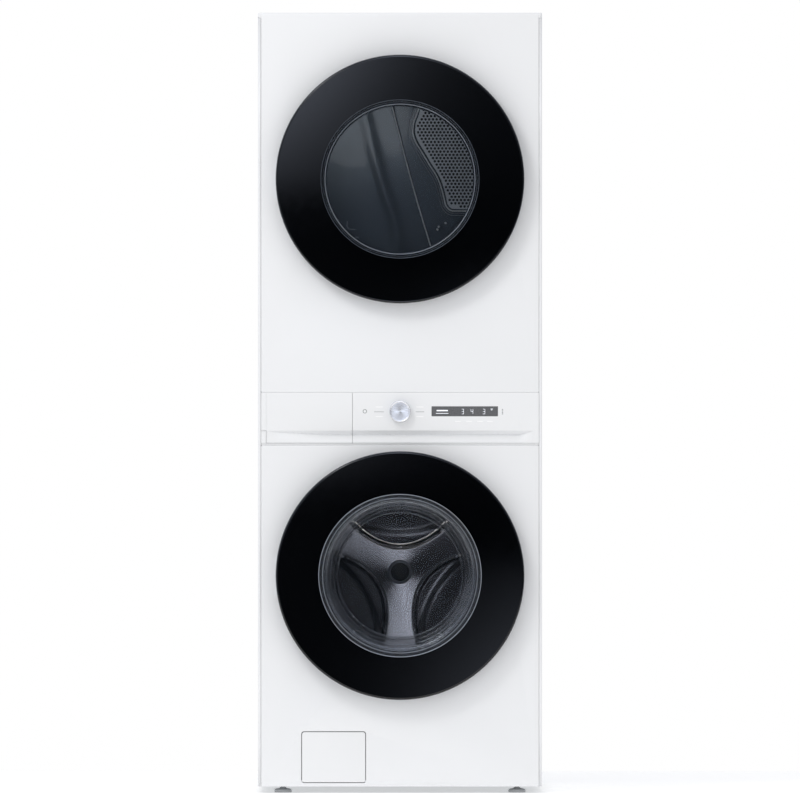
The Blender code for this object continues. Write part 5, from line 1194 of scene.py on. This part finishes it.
def make_springs():
    for side in ("left", "right"):
        node = f"suspension_spring_{side}"
        centre = middle(node)
        low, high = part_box(node)[0].z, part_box(node)[1].z
        x = math.copysign(0.3060, centre.x)
        turns, radius, leg = sizes().coils, 0.010, 0.016
        y = centre.y
        count = turns * 16
        path = [(x, y, low), (x, y, low + leg * 0.6)]
        for i in range(count + 1):
            a = 2 * math.pi * i / 16
            z = low + leg + (high - low - 2 * leg) * i / count
            path.append((x + radius * math.cos(a), y + radius * math.sin(a), z))
        path += [(x, y, high - leg * 0.6), (x, y, high)]
        mesh = new_mesh(node, path, [], [(i, i + 1) for i in range(len(path) - 1)])
        coil = run_tree(f"coil_{side}", tree_of("coil"), mesh, "steel", 60, Wire=sizes().wire)
        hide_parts(node)
        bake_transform(coil)


def vane(name, radius, height, low, high, angle, axis_z, finish, width=0.060):
    """A smooth drum lifter, lofted along the drum's axis."""
    rows, cols = 16, 14
    verts = []
    for j in range(rows + 1):
        t = j / rows
        swell = math.sin(math.pi * t) ** 0.35
        for i in range(cols + 1):
            u = i / cols * 2 - 1
            across = u * width / 2 * (1 - 0.25 * (1 - swell))
            profile = (1 - abs(u) ** 2.4) ** 0.8
            lift = height * swell * profile
            base = math.sqrt(max(radius * radius - across * across, 0.0)) - 0.0016
            r = base - lift
            out = -(low + (high - low) * t)
            c, s = math.cos(angle), math.sin(angle)
            verts.append((r * c - across * s, proud(out), axis_z + r * s + across * c))
    n = cols + 1
    rim = [j * n for j in range(rows + 1)] + [rows * n + i for i in range(1, n)]
    rim += [j * n + cols for j in range(rows - 1, -1, -1)] + list(range(cols - 1, 0, -1))
    faces = strips(rows + 1, n, closed=False) + [rim]
    return show(name, tidy_mesh(new_mesh(name, verts, faces)), finish, 50)


def vanes(machine, count_from, radius, height, low, high, axis_z, finish):
    """Three vanes, a third of a turn apart."""
    angles = [math.radians(count_from + 120 * i + 7.5) for i in range(3)]
    return [vane(f"{machine}_vane_{i}", radius, height, low + 0.030, high - 0.030, a, axis_z,
            finish) for i, a in enumerate(angles)]


def perforated_cylinder(name, radius, low, high, axis_z, finish, around, rows, hole):
    """A sheet cylinder made of cells, each with a round hole that has a pressed rim."""
    step, sides = 2 * math.pi / around, 8
    half, tall = radius * math.tan(step / 2), (high - low) / rows
    ways = [(math.cos(a), math.sin(a)) for a in (2 * math.pi * i / sides for i in range(sides))]
    cell = [(half * max(-1, min(1, 1.42 * c)), tall / 2 * max(-1, min(1, 1.42 * s)), 0) for c,
        s in ways]
    cell += [(1.5 * hole * c, 1.5 * hole * s, 0) for c, s in ways]
    cell += [(hole * c, hole * s, 0.0010) for c, s in ways]
    part = bpy.data.objects.new(name + "_cell", new_mesh(name + "_cell", cell, strips(3, sides)))
    bpy.context.scene.collection.objects.link(part)
    quarter = math.pi / 2
    spots = [(radius * math.cos(i * step), FRONT_Y + low + tall * (j + 0.5),
            axis_z + radius * math.sin(i * step), quarter, quarter - i * step, 0.0)
        for i in range(around) for j in range(rows)]
    made = set_on_points(name, part, spots, finish)
    tidy_mesh(made.data, 1e-4, False)
    return thickened(made, 0.0006, 0)


def make_washer_drum():
    mouth, radius = 0.207, DRUM_RADIUS
    front = DRUM_FRONT
    seam_front, seam_back = front + 0.028, DRUM_BACK - 0.006
    profile = [(mouth - 0.0002, -front + 0.0045), (mouth + 0.0008, -front + 0.0058),
        (mouth + 0.0020, -front + 0.0052), (mouth + 0.0034, -front + 0.0008),
        (mouth + 0.0060, -front - 0.0002), (0.222, -front - 0.0008), (0.225, -front + 0.0012),
        (0.232, -front + 0.0012), (0.235, -front - 0.0008), (radius - 0.012, -front - 0.0002),
        (radius - 0.005, -front - 0.0020), (radius - 0.0013, -front - 0.0060),
        (radius, -front - 0.0120), (radius, -seam_front), (radius - 0.0012, -seam_front),
        (radius - 0.0012, -front - 0.0120), (radius - 0.0055, -front - 0.0035),
        (mouth + 0.0060, -front - 0.0016), (mouth + 0.0006, -front + 0.0005)]
    shell = turned("drum_front_ring", profile, "stainless", WASHER_Z)
    hole = sizes().perforation
    place = (radius - 0.0008, seam_front, seam_back, WASHER_Z)
    wall = perforated_cylinder("drum_wall", *place, "stainless", 90, 22, hole)
    lifters = vanes("washer", 30, radius, 0.050, DRUM_FRONT, DRUM_BACK, WASHER_Z, "stainless")
    ride_on("washer_drum", shell, wall, *lifters, slot="stainless",
        stands_for=["washer_drum_wrapper"])
    place = (radius - 0.0015, DRUM_BACK, 0.016, WASHER_Z)
    back = dished_disc("drum_back_plate", *place, star_height, "drum_star", 118, 300)
    rise = -DRUM_BACK - 0.0086
    ring = [(0.0226, rise - 0.0010), (0.0230, rise + 0.0014), (0.0240, rise + 0.0024)]
    ring += [(0.0252, rise + 0.0024), (0.0266, rise + 0.0016), (0.0284, rise + 0.0002)]
    ring += [(0.0302, rise - 0.0014), (0.0302, rise - 0.0050), (0.0226, rise - 0.0050)]
    # The hub ring takes the light rim finish: a painted highlight where the polished star metal
    # would mirror dark.
    hub = turned("drum_hub", ring, "rim_light", WASHER_Z, 0.0, 96)
    cap = [(0.0, rise + 0.0022), (0.012, rise + 0.0020), (0.0190, rise + 0.0010)]
    cap += [(0.0222, rise - 0.0002), (0.0224, rise - 0.0040), (0.0, rise - 0.0040)]
    cap = turned("drum_hub_cap", cap, "dark_plastic", WASHER_Z, 0.0, 96)
    ride_on("washer_drum", cap, slot="dark_plastic")
    ride_on("washer_drum", back, hub, slot="stainless", stands_for=["washer_drum_back"])


def ease(value, low, high):
    """0 below low, 1 above high, and a smooth step between them."""
    t = np.clip((value - low) / (high - low), 0, 1)
    return t * t * (3 - 2 * t)


def star_height(x, z):
    """The drum's back: arms that rise to the rim, three stepped lobes between them, and a hub."""
    r = np.hypot(x, z)
    height = 0.016 * np.clip((r - 0.028) / 0.222, 0, 1) - 0.010
    for k in range(3):
        a = math.radians(90 + 120 * k)
        u = x * math.cos(a) + z * math.sin(a)
        v = -x * math.sin(a) + z * math.cos(a)
        slant = np.sqrt(1 + (7.96 * v) ** 2)
        side = (u - (0.062 + 4.05 * v * v)) / slant
        inner = (u - (0.096 + 2.1 * v * v)) / np.sqrt(1 + (4.2 * v) ** 2)
        rim = 1 - ease(r, 0.252, 0.264)
        lobe = ease(side, -0.001, 0.006) * rim
        flat = -0.012 - 0.0012 * ease(inner, -0.012, 0.014) + 0.004 * ease(u, 0.14, 0.25)
        height = height * (1 - lobe) + lobe * flat
        height = height + 0.0012 * ease(side, -0.007, -0.001) * (1 - ease(side, -0.001, 0.003))
    return height


def dished_disc(name, radius, depth, thickness, axis_z, height, finish, rings, spokes):
    """A pressed disc facing the front: rings of points whose height is a rule of their place."""
    radii = np.linspace(0, radius, rings + 1)[1:]
    angles = np.linspace(0, 2 * math.pi, spokes, endpoint=False)
    rr, aa = np.meshgrid(radii, angles, indexing="ij")
    x, z = rr * np.cos(aa), rr * np.sin(aa)
    lift = height(x, z)
    top = np.stack([x, proud(-depth) - lift, axis_z + z], -1).reshape(-1, 3)
    centre_lift = float(height(np.zeros(1), np.zeros(1))[0])
    rim_y = FRONT_Y + depth + thickness
    rim = np.stack([radii[-1] * np.cos(angles), np.full(spokes, rim_y),
            axis_z + radii[-1] * np.sin(angles)], -1)
    verts = np.vstack([[(0, proud(-depth) - centre_lift, axis_z)], top, rim, [(0, rim_y, axis_z)]])
    faces = []
    for i in range(spokes):
        j = (i + 1) % spokes
        faces.append((0, 1 + i, 1 + j))
        for k in range(rings - 1):
            a, b = 1 + k * spokes, 1 + (k + 1) * spokes
            faces.append((a + i, b + i, b + j, a + j))
        a, b = 1 + (rings - 1) * spokes, 1 + rings * spokes
        faces.append((a + i, b + i, b + j, a + j))
        faces.append((b + i, len(verts) - 1, b + j))
    return show(name, tidy_mesh(new_mesh(name, verts.tolist(), faces), 1e-7), finish, 40)


# ---- dryer inside ------------------------------------------------------------------------------
KIDNEY = [(0.0700, 0.232), (0.0560, 0.205), (0.0469, 0.176), (0.0375, 0.150), (0.0358, 0.126),
    (0.0430, 0.104), (0.0534, 0.087), (0.0655, 0.067), (0.0775, 0.047), (0.0900, 0.028),
    (0.0998, 0.008), (0.1075, -0.015), (0.1129, -0.037), (0.1165, -0.051), (0.1260, -0.0613),
    (0.1400, -0.0627), (0.1830, -0.0627), (0.2400, -0.0600), (0.2550, -0.0500), (0.2650, 0.005),
    (0.2580, 0.065), (0.2360, 0.125), (0.1960, 0.180), (0.1500, 0.218), (0.1050, 0.240)]
RIB_LEFT = [(-0.105, 0.245), (-0.0815, 0.1487), (-0.0642, 0.0746), (-0.0370, -0.0193),
    (-0.0061, -0.1107), (-0.0040, -0.1430), (-0.0106, -0.1723), (-0.030, -0.205), (-0.050, -0.260)]
RIB_RIGHT = [(-0.0370, 0.262), (-0.0173, 0.1833), (0.0148, 0.0573), (0.0420, -0.0415),
    (0.0766, -0.1563), (0.1060, -0.250)]


def signed_gap(x, z, outline):
    """Distance from a closed outline, positive inside, for arrays of points."""
    a = np.array(outline)
    b = np.roll(a, -1, 0)
    best = np.full(x.shape, 1e9)
    hit = np.zeros(x.shape, bool)
    for (x0, z0), (x1, z1) in zip(a, b):
        dx, dz = x1 - x0, z1 - z0
        t = np.clip(((x - x0) * dx + (z - z0) * dz) / (dx * dx + dz * dz + 1e-12), 0, 1)
        best = np.minimum(best, np.hypot(x0 + dx * t - x, z0 + dz * t - z))
        crosses = ((z0 > z) != (z1 > z)) & (x < x0 + (z - z0) * dx
            / (dz if abs(dz) > 1e-9 else 1e-9))
        hit ^= crosses
    return np.where(hit, best, -best)


def kidney_outline():
    points = smooth_path([*KIDNEY, KIDNEY[0]], 4)[:-1]
    return [tuple(p) for p in points]


def rib_height(x, z):
    """The dryer's back wall: a slanted pressed rib and the sunk seat of the grille."""
    left = np.array([tuple(p) for p in smooth_path(RIB_LEFT, 4)])
    right = np.array([tuple(p) for p in smooth_path(RIB_RIGHT, 4)])
    xl = np.interp(-z, -left[:, 1], left[:, 0])
    xr = np.interp(-z, -right[:, 1], right[:, 0])
    r = np.hypot(x, z)
    inside_drum = 1 - ease(r, 0.285, 0.305)
    ridge = 0.0023 * np.exp(-(((x - xl) / 0.015) ** 2))
    valley = -0.0010 * np.exp(-(((x - (xl + xr) / 2) / 0.030) ** 2))
    fall = -0.0022 * ease(x - xr, -0.0015, 0.0035)
    height = (ridge + valley + fall) * inside_drum
    gap = signed_gap(x, z, kidney_outline())
    height = height - 0.010 * ease(gap, 0.0005, 0.006)
    height = height + 0.0012 * np.exp(-(((gap + 0.0055) / 0.0024) ** 2))
    return height - 0.006 * (r / 0.3) ** 2


def make_dryer_back():
    depth = BULKHEAD_FACE - 0.006
    place = (DRYER_DRUM_RADIUS - 0.006, depth, 0.018, DRYER_Z)
    wall = dished_disc("dryer_back_wall", *place, rib_height, "drum_enamel", 124, 360)
    low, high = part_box("rear_bulkhead")
    sheet = [rounded(low.x, high.x, low.z, high.z, 0.012)]
    sheet += [circle(DRYER_DRUM_RADIUS - 0.008, 0, DRYER_Z)]
    plate = slab("rear_bulkhead_sheet", sheet, -BULKHEAD_FACE, 0.0018, 0.0004, "drum_enamel", 1)
    ride_on("cabinet", plate, wall, slot="drum_enamel", stands_for=["rear_bulkhead"])
    outline = kidney_outline()
    pitch, hole = sizes().grille_pitch, sizes().grille_hole
    grille = perforated_plate("dryer_grille", outline, pitch, hole, 0.0008, 0.0045, "grille_enamel")
    grille.data.transform(Matrix.Translation((0, FRONT_Y + depth + 0.0062, DRYER_Z)) @ FACING_FRONT)
    lifted = [(x, z + DRYER_Z) for x, z in outline]
    # A near-black sheet behind the grille: painted shade, so that its holes look dark.
    shade = slab("grille_shade", [lifted], -depth - 0.0080, 0.0008, 0.0, "cavity_dark")
    ride_on("cabinet", grille, shade, slot="drum_enamel")
    corner = (0.050, FRONT_Y + BULKHEAD_FACE + 0.0125, DRYER_Z - 0.215)
    far = (0.300, high.y, DRYER_Z + 0.215)
    heater = box_piece("heater_case", corner, far, 0.004, "galvanised", 3)
    ride_on("cabinet", heater, slot="galvanised")

    def on_wall(points, lift):
        spots = [Vector(p) for p in points]
        highs = rib_height(np.array([p.x for p in spots]), np.array([p.y for p in spots]))
        face = FRONT_Y + depth - lift
        return [(p.x, face - float(h), DRYER_Z + p.y) for p, h in zip(spots, highs)]

    crisp = [p for p in smooth_path(RIB_RIGHT, 6) if p.length < 0.26]
    # These beads are painted light or mid grey against the dark wall: painted highlights on the
    # crease and the grille's borders.
    edge = tube("rib_edge", on_wall(crisp, 0.0024), 0.0017, "bead_light")
    rim_path = offset_outline(outline, 0.0036)
    rim = tube("grille_rim", on_wall(rim_path, 0.0026), 0.0016, "bead_light", True)
    beads = [edge, rim]
    for i, out in enumerate((0.0090, 0.0145)):
        ring = offset_outline(outline, out)
        ring = [p for p in ring if math.hypot(*p) < 0.285]
        beads.append(tube(f"grille_bead_{i}", on_wall(ring, 0.0004), 0.0010, "bead_dim"))
    bracket = [(-0.130, -0.091), (-0.131, -0.103), (-0.126, -0.111), (-0.110, -0.112)]
    beads.append(tube("sensor_edge", on_wall(bracket, 0.0010), 0.0009, "bead_dim"))
    bars = [(-0.128, -0.131), (-0.101, -0.131)]
    beads.append(tube("sensor_bar", on_wall(bars, 0.0010), 0.0010, "bead_dim"))
    # Screw heads in the light bead finish: painted glints.
    for i, (x, z) in enumerate(((0.0955, -0.1050), (0.0925, -0.1120), (0.1125, -0.0960))):
        y = rib_height(np.array([x]), np.array([z]))[0] - depth
        head = [(0.0, y + 0.0022), (0.0012, y + 0.0020), (0.0026, y + 0.0010)]
        head += [(0.0032, y - 0.001), (0.0, y - 0.001)]
        beads.append(turned(f"wall_screw_{i}", head, "bead_light", DRYER_Z + z, x, 20))
    ride_on("cabinet", *beads, slot="drum_enamel")


def offset_outline(outline, distance):
    """An outline moved outwards along its normals."""
    count, out = len(outline), []
    for i in range(count):
        a, b = Vector(outline[i - 1]), Vector(outline[(i + 1) % count])
        along = (b - a).normalized()
        out.append((outline[i][0] - along.y * distance, outline[i][1] + along.x * distance))
    centre = sum((Vector(p) for p in outline), Vector((0, 0))) / count
    if (Vector(out[0]) - centre).length < (Vector(outline[0]) - centre).length:
        return offset_outline(outline, -distance) if distance > 0 else out
    return out


def make_dryer_drum():
    radius, low, high = DRYER_DRUM_RADIUS, DRYER_DRUM_FRONT, DRYER_DRUM_BACK
    outer = [(low, 0.0), (low + 0.004, 0.0)]
    for centre in (low + 0.06, low + 0.20, low + 0.34, low + 0.48, high - 0.05):
        outer += [(centre - 0.006, 0.0), (centre - 0.002, -0.0022), (centre + 0.002, -0.0022)]
        outer += [(centre + 0.006, 0.0)]
    outer += [(high, 0.0)]
    profile = [(radius - 0.0002 + d, -p) for p, d in outer]
    profile += [(radius - 0.0014 + d, -p) for p, d in outer[::-1]]
    shell = turned("dryer_drum_shell", profile, "drum_enamel", DRYER_Z)
    lifters = vanes("dryer", 90, radius, 0.060, low, high, DRYER_Z, "drum_enamel")
    ride_on("dryer_drum", shell, *lifters, slot="drum_enamel", stands_for=["dryer_drum"])


FAR, VIEW_WIDTH, VIEW_Z = 30.0, 1.9324, 0.9496
GLOW_WIDTH = 0.0434
STRIP_WIDTH = 0.09
WHITE = (1.0, 1.0, 1.0, 1)
COOL = (0.87, 0.95, 1.15, 1)


def light_shape(tree, parts):
    """What polished surfaces mirror: two soft glows, an upright strip and the room round them."""

    def glow(x, z, strength):
        dx, dz = calc(tree, "SUBTRACT", parts[0], x), calc(tree, "SUBTRACT", parts[2], z)
        square = calc(tree, "ADD", calc(tree, "MULTIPLY", dx, dx), calc(tree, "MULTIPLY", dz, dz))
        power = calc(tree, "DIVIDE", square, -GLOW_WIDTH * GLOW_WIDTH)
        level = calc(tree, "MULTIPLY", calc(tree, "EXPONENT", power), strength)
        return calc(tree, "MINIMUM", level, 1.3)

    def step(value, low, high):
        smooth = {"interpolation_type": "SMOOTHSTEP"}
        return put(tree, "ShaderNodeMapRange", smooth, i0=value, i1=low, i2=high).outputs[0]

    high = calc(tree, "MULTIPLY", glow(-0.070, 0.085, 9.5), step(parts[2], 0.008, 0.021))
    sunk = calc(tree, "MULTIPLY", parts[2], -1.0)
    low = calc(tree, "MULTIPLY", glow(0.070, -0.081, 3.4), step(sunk, 0.004, 0.017))
    square = calc(tree, "MULTIPLY", parts[0], parts[0])
    narrow = calc(tree, "EXPONENT", calc(tree, "DIVIDE", square, -STRIP_WIDTH * STRIP_WIDTH))
    steep = step(calc(tree, "ABSOLUTE", parts[2]), 0.10, 0.135)
    strip = calc(tree, "MULTIPLY", calc(tree, "MULTIPLY", narrow, steep), 2.1)
    spots = calc(tree, "ADD", calc(tree, "ADD", high, low), strip)
    spots = calc(tree, "MULTIPLY", spots, calc(tree, "LESS_THAN", parts[1], -0.5))
    sides = calc(tree, "MULTIPLY", calc(tree, "ABSOLUTE", parts[0]), 0.45)
    sides = calc(tree, "MULTIPLY_ADD", parts[0], -0.25, sides)
    upward = calc(tree, "MAXIMUM", parts[2], 0.0)
    room = calc(tree, "MULTIPLY_ADD", upward, 0.9, calc(tree, "MAXIMUM", sides, 0.0))
    behind = calc(tree, "MULTIPLY", calc(tree, "GREATER_THAN", parts[1], 0.0), 0.5)
    return calc(tree, "ADD", spots, calc(tree, "ADD", room, behind))


def studio_world():
    """White to the camera, a soft wash on matt surfaces, and the light shapes on polished ones."""
    world = bpy.data.worlds.new("Studio")
    world.use_nodes = True
    world.cycles.sampling_method = "NONE"
    tree = world.node_tree
    tree.nodes.clear()
    aim = tree.nodes.new("ShaderNodeTexCoord").outputs["Generated"]
    parts = put(tree, "ShaderNodeSeparateXYZ", Vector=aim).outputs
    facing = calc(tree, "MAXIMUM", calc(tree, "MULTIPLY", parts[1], -1.0), 0.0)
    wash = calc(tree, "MULTIPLY_ADD", facing, 0.45, 0.55)

    def background(colour, strength):
        return put(tree, "ShaderNodeBackground", Color=colour, Strength=strength).outputs[0]

    path = tree.nodes.new("ShaderNodeLightPath").outputs
    seen = background(WHITE, wash)
    for ray, colour, strength in (("Is Glossy Ray", COOL, light_shape(tree, parts)),
            ("Is Camera Ray", WHITE, 1.0)):
        other = background(colour, strength)
        seen = put(tree, "ShaderNodeMixShader", i0=path[ray], i1=seen, i2=other).outputs[0]
    tree.links.new(seen, tree.nodes.new("ShaderNodeOutputWorld").inputs["Surface"])
    return world


def lamp(name, place, target, size, power, shape="DISK"):
    data = bpy.data.lights.new(name, "AREA")
    data.shape, data.size, data.energy = shape, size, power
    made = bpy.data.objects.new(name, data)
    bpy.context.scene.collection.objects.link(made)
    made.location = place
    made.rotation_euler = (Vector(target) - Vector(place)).to_track_quat("-Z", "Y").to_euler()
    made.visible_camera = False


def make_stage():
    bpy.ops.mesh.primitive_plane_add(size=1)
    floor = bpy.context.object
    floor.name = "studio_floor"
    floor.data.transform(Matrix.Translation((0, -0.5, 0)) @ Matrix.Diagonal((6, 3.8, 1, 1)))
    paper = surface("floor_paper", "finish", (0.96, 0.96, 0.96), 0.9, 0.02, Drift=0.01)
    shine(paper, WHITE, 0.36)
    floor.data.materials.append(paper)
    scene = bpy.context.scene
    scene.view_settings.view_transform = "Standard"
    scene.world = studio_world()

    lamp("key_light", (-1.6, -3.0, 3.4), (0, 0, 1.0), 1.0, 28, "SQUARE")
    place, target = (0, proud(-0.20), WASHER_Z + 0.255), (0, proud(-0.59), WASHER_Z)
    lamp("washer_lamp", place, target, 0.06, 0.10)
    place, target = (-0.12, proud(-0.14), DRYER_Z + 0.2), (-0.02, proud(-0.67), DRYER_Z)
    lamp("dryer_lamp", place, target, 0.3, 0.60)

    eye = bpy.data.cameras.new("front_camera")
    eye.sensor_width, eye.lens, eye.clip_end = 36, 36 * FAR / VIEW_WIDTH, 200
    camera = bpy.data.objects.new("front_camera", eye)
    scene.collection.objects.link(camera)
    camera.location = (0, FRONT_Y - FAR, VIEW_Z)
    camera.rotation_euler = (math.radians(90), 0, 0)
    scene.camera = camera


def make_hatch():
    low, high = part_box("filter_hatch")
    outline = rounded(low.x + HATCH_INSET, high.x - HATCH_INSET, low.z, high.z, 0.006)
    plate = slab("pump_hatch", [outline], 0.0, 0.003, 0.0008, "white_plastic")
    axis = [(x, FRONT_Y + 0.0032, low.z + 0.0032) for x in (low.x, high.x)]
    pin = tube("pump_hatch_pin", axis, 0.0019, "white_plastic")
    ride_on("hatch", joined(plate, pin), slot="white_plastic", stands_for=["filter_hatch"])


def dress_frame():
    """Gives every frame node that stays in view its finish."""
    for node in frame["nodes"].values():
        for held in node.material_slots:
            slot = held.material.name.split(".")[0]
            held.material = FINISHES.get(slot, FINISHES["steel"])


# ---- operators ---------------------------------------------------------------------------------
def operator(idname, label, text, work):
    """An operator class that runs one maker."""

    def execute(self, context):
        work()
        return {"FINISHED"}

    return type("LAUNDRY_OT_" + idname, (bpy.types.Operator,),
        {"bl_idname": "laundry." + idname, "bl_label": label, "bl_options": {"REGISTER", "UNDO"},
            "__doc__": text, "execute": execute})


OPERATORS = [operator("finishes", "Finishes", "Make the materials", make_finishes),
    operator("frame", "Frame", "Give the frame's own parts their finishes", dress_frame),
    operator("cabinet", "Cabinet", "Side sheets and lid", make_cabinet),
    operator("fronts", "Front sheets", "Front sheets with their openings", make_fronts),
    operator("feet", "Feet", "Levelling feet", make_feet),
    operator("backs", "Back", "Back sheets, ribs, louvres and screws", make_backs),
    operator("controls", "Controls", "Control panel, display, marks and dial", make_controls),
    operator("drawer", "Drawer", "Detergent drawer and its tray", make_drawer),
    operator("hatch", "Hatch", "Pump filter hatch", make_hatch),
    operator("doors", "Doors", "Both doors", make_doors),
    operator("gasket", "Gasket", "Folded door boot", make_gasket),
    operator("springs", "Springs", "Coil springs of the tub", make_springs),
    operator("washer_drum", "Washer drum", "Perforated drum with its star", make_washer_drum),
    operator("dryer_back", "Dryer back wall", "Pressed wall, grille and heater case",
        make_dryer_back), operator("dryer_drum", "Dryer drum", "Dryer drum with its vanes",
        make_dryer_drum), operator("stage", "Stage", "Floor, lights and camera", make_stage)]


class LAUNDRY_PT_panel(bpy.types.Panel):
    """Lists the makers of the laundry tower"""

    bl_idname = "LAUNDRY_PT_panel"
    bl_label = "Laundry Tower"
    bl_space_type = "VIEW_3D"
    bl_region_type = "UI"
    bl_category = "Laundry"

    def draw(self, context):
        for settings in (context.scene.laundry_sizes, context.scene.laundry_colours):
            for name in settings.__annotations__:
                self.layout.prop(settings, name)
        for made in OPERATORS:
            self.layout.operator(made.bl_idname)


CLASSES = [LaundryColours, LaundrySizes, *OPERATORS, LAUNDRY_PT_panel]


def register():
    for made in CLASSES:
        bpy.utils.register_class(made)
    bpy.types.Scene.laundry_sizes = PointerProperty(type=LaundrySizes)
    bpy.types.Scene.laundry_colours = PointerProperty(type=LaundryColours)


def unregister():
    del bpy.types.Scene.laundry_colours
    del bpy.types.Scene.laundry_sizes
    for made in reversed(CLASSES):
        bpy.utils.unregister_class(made)


def main():
    register()
    for made in OPERATORS:
        group_name, action = made.bl_idname.split(".")
        getattr(getattr(bpy.ops, group_name), action)()


if __name__ == "__main__":
    main()
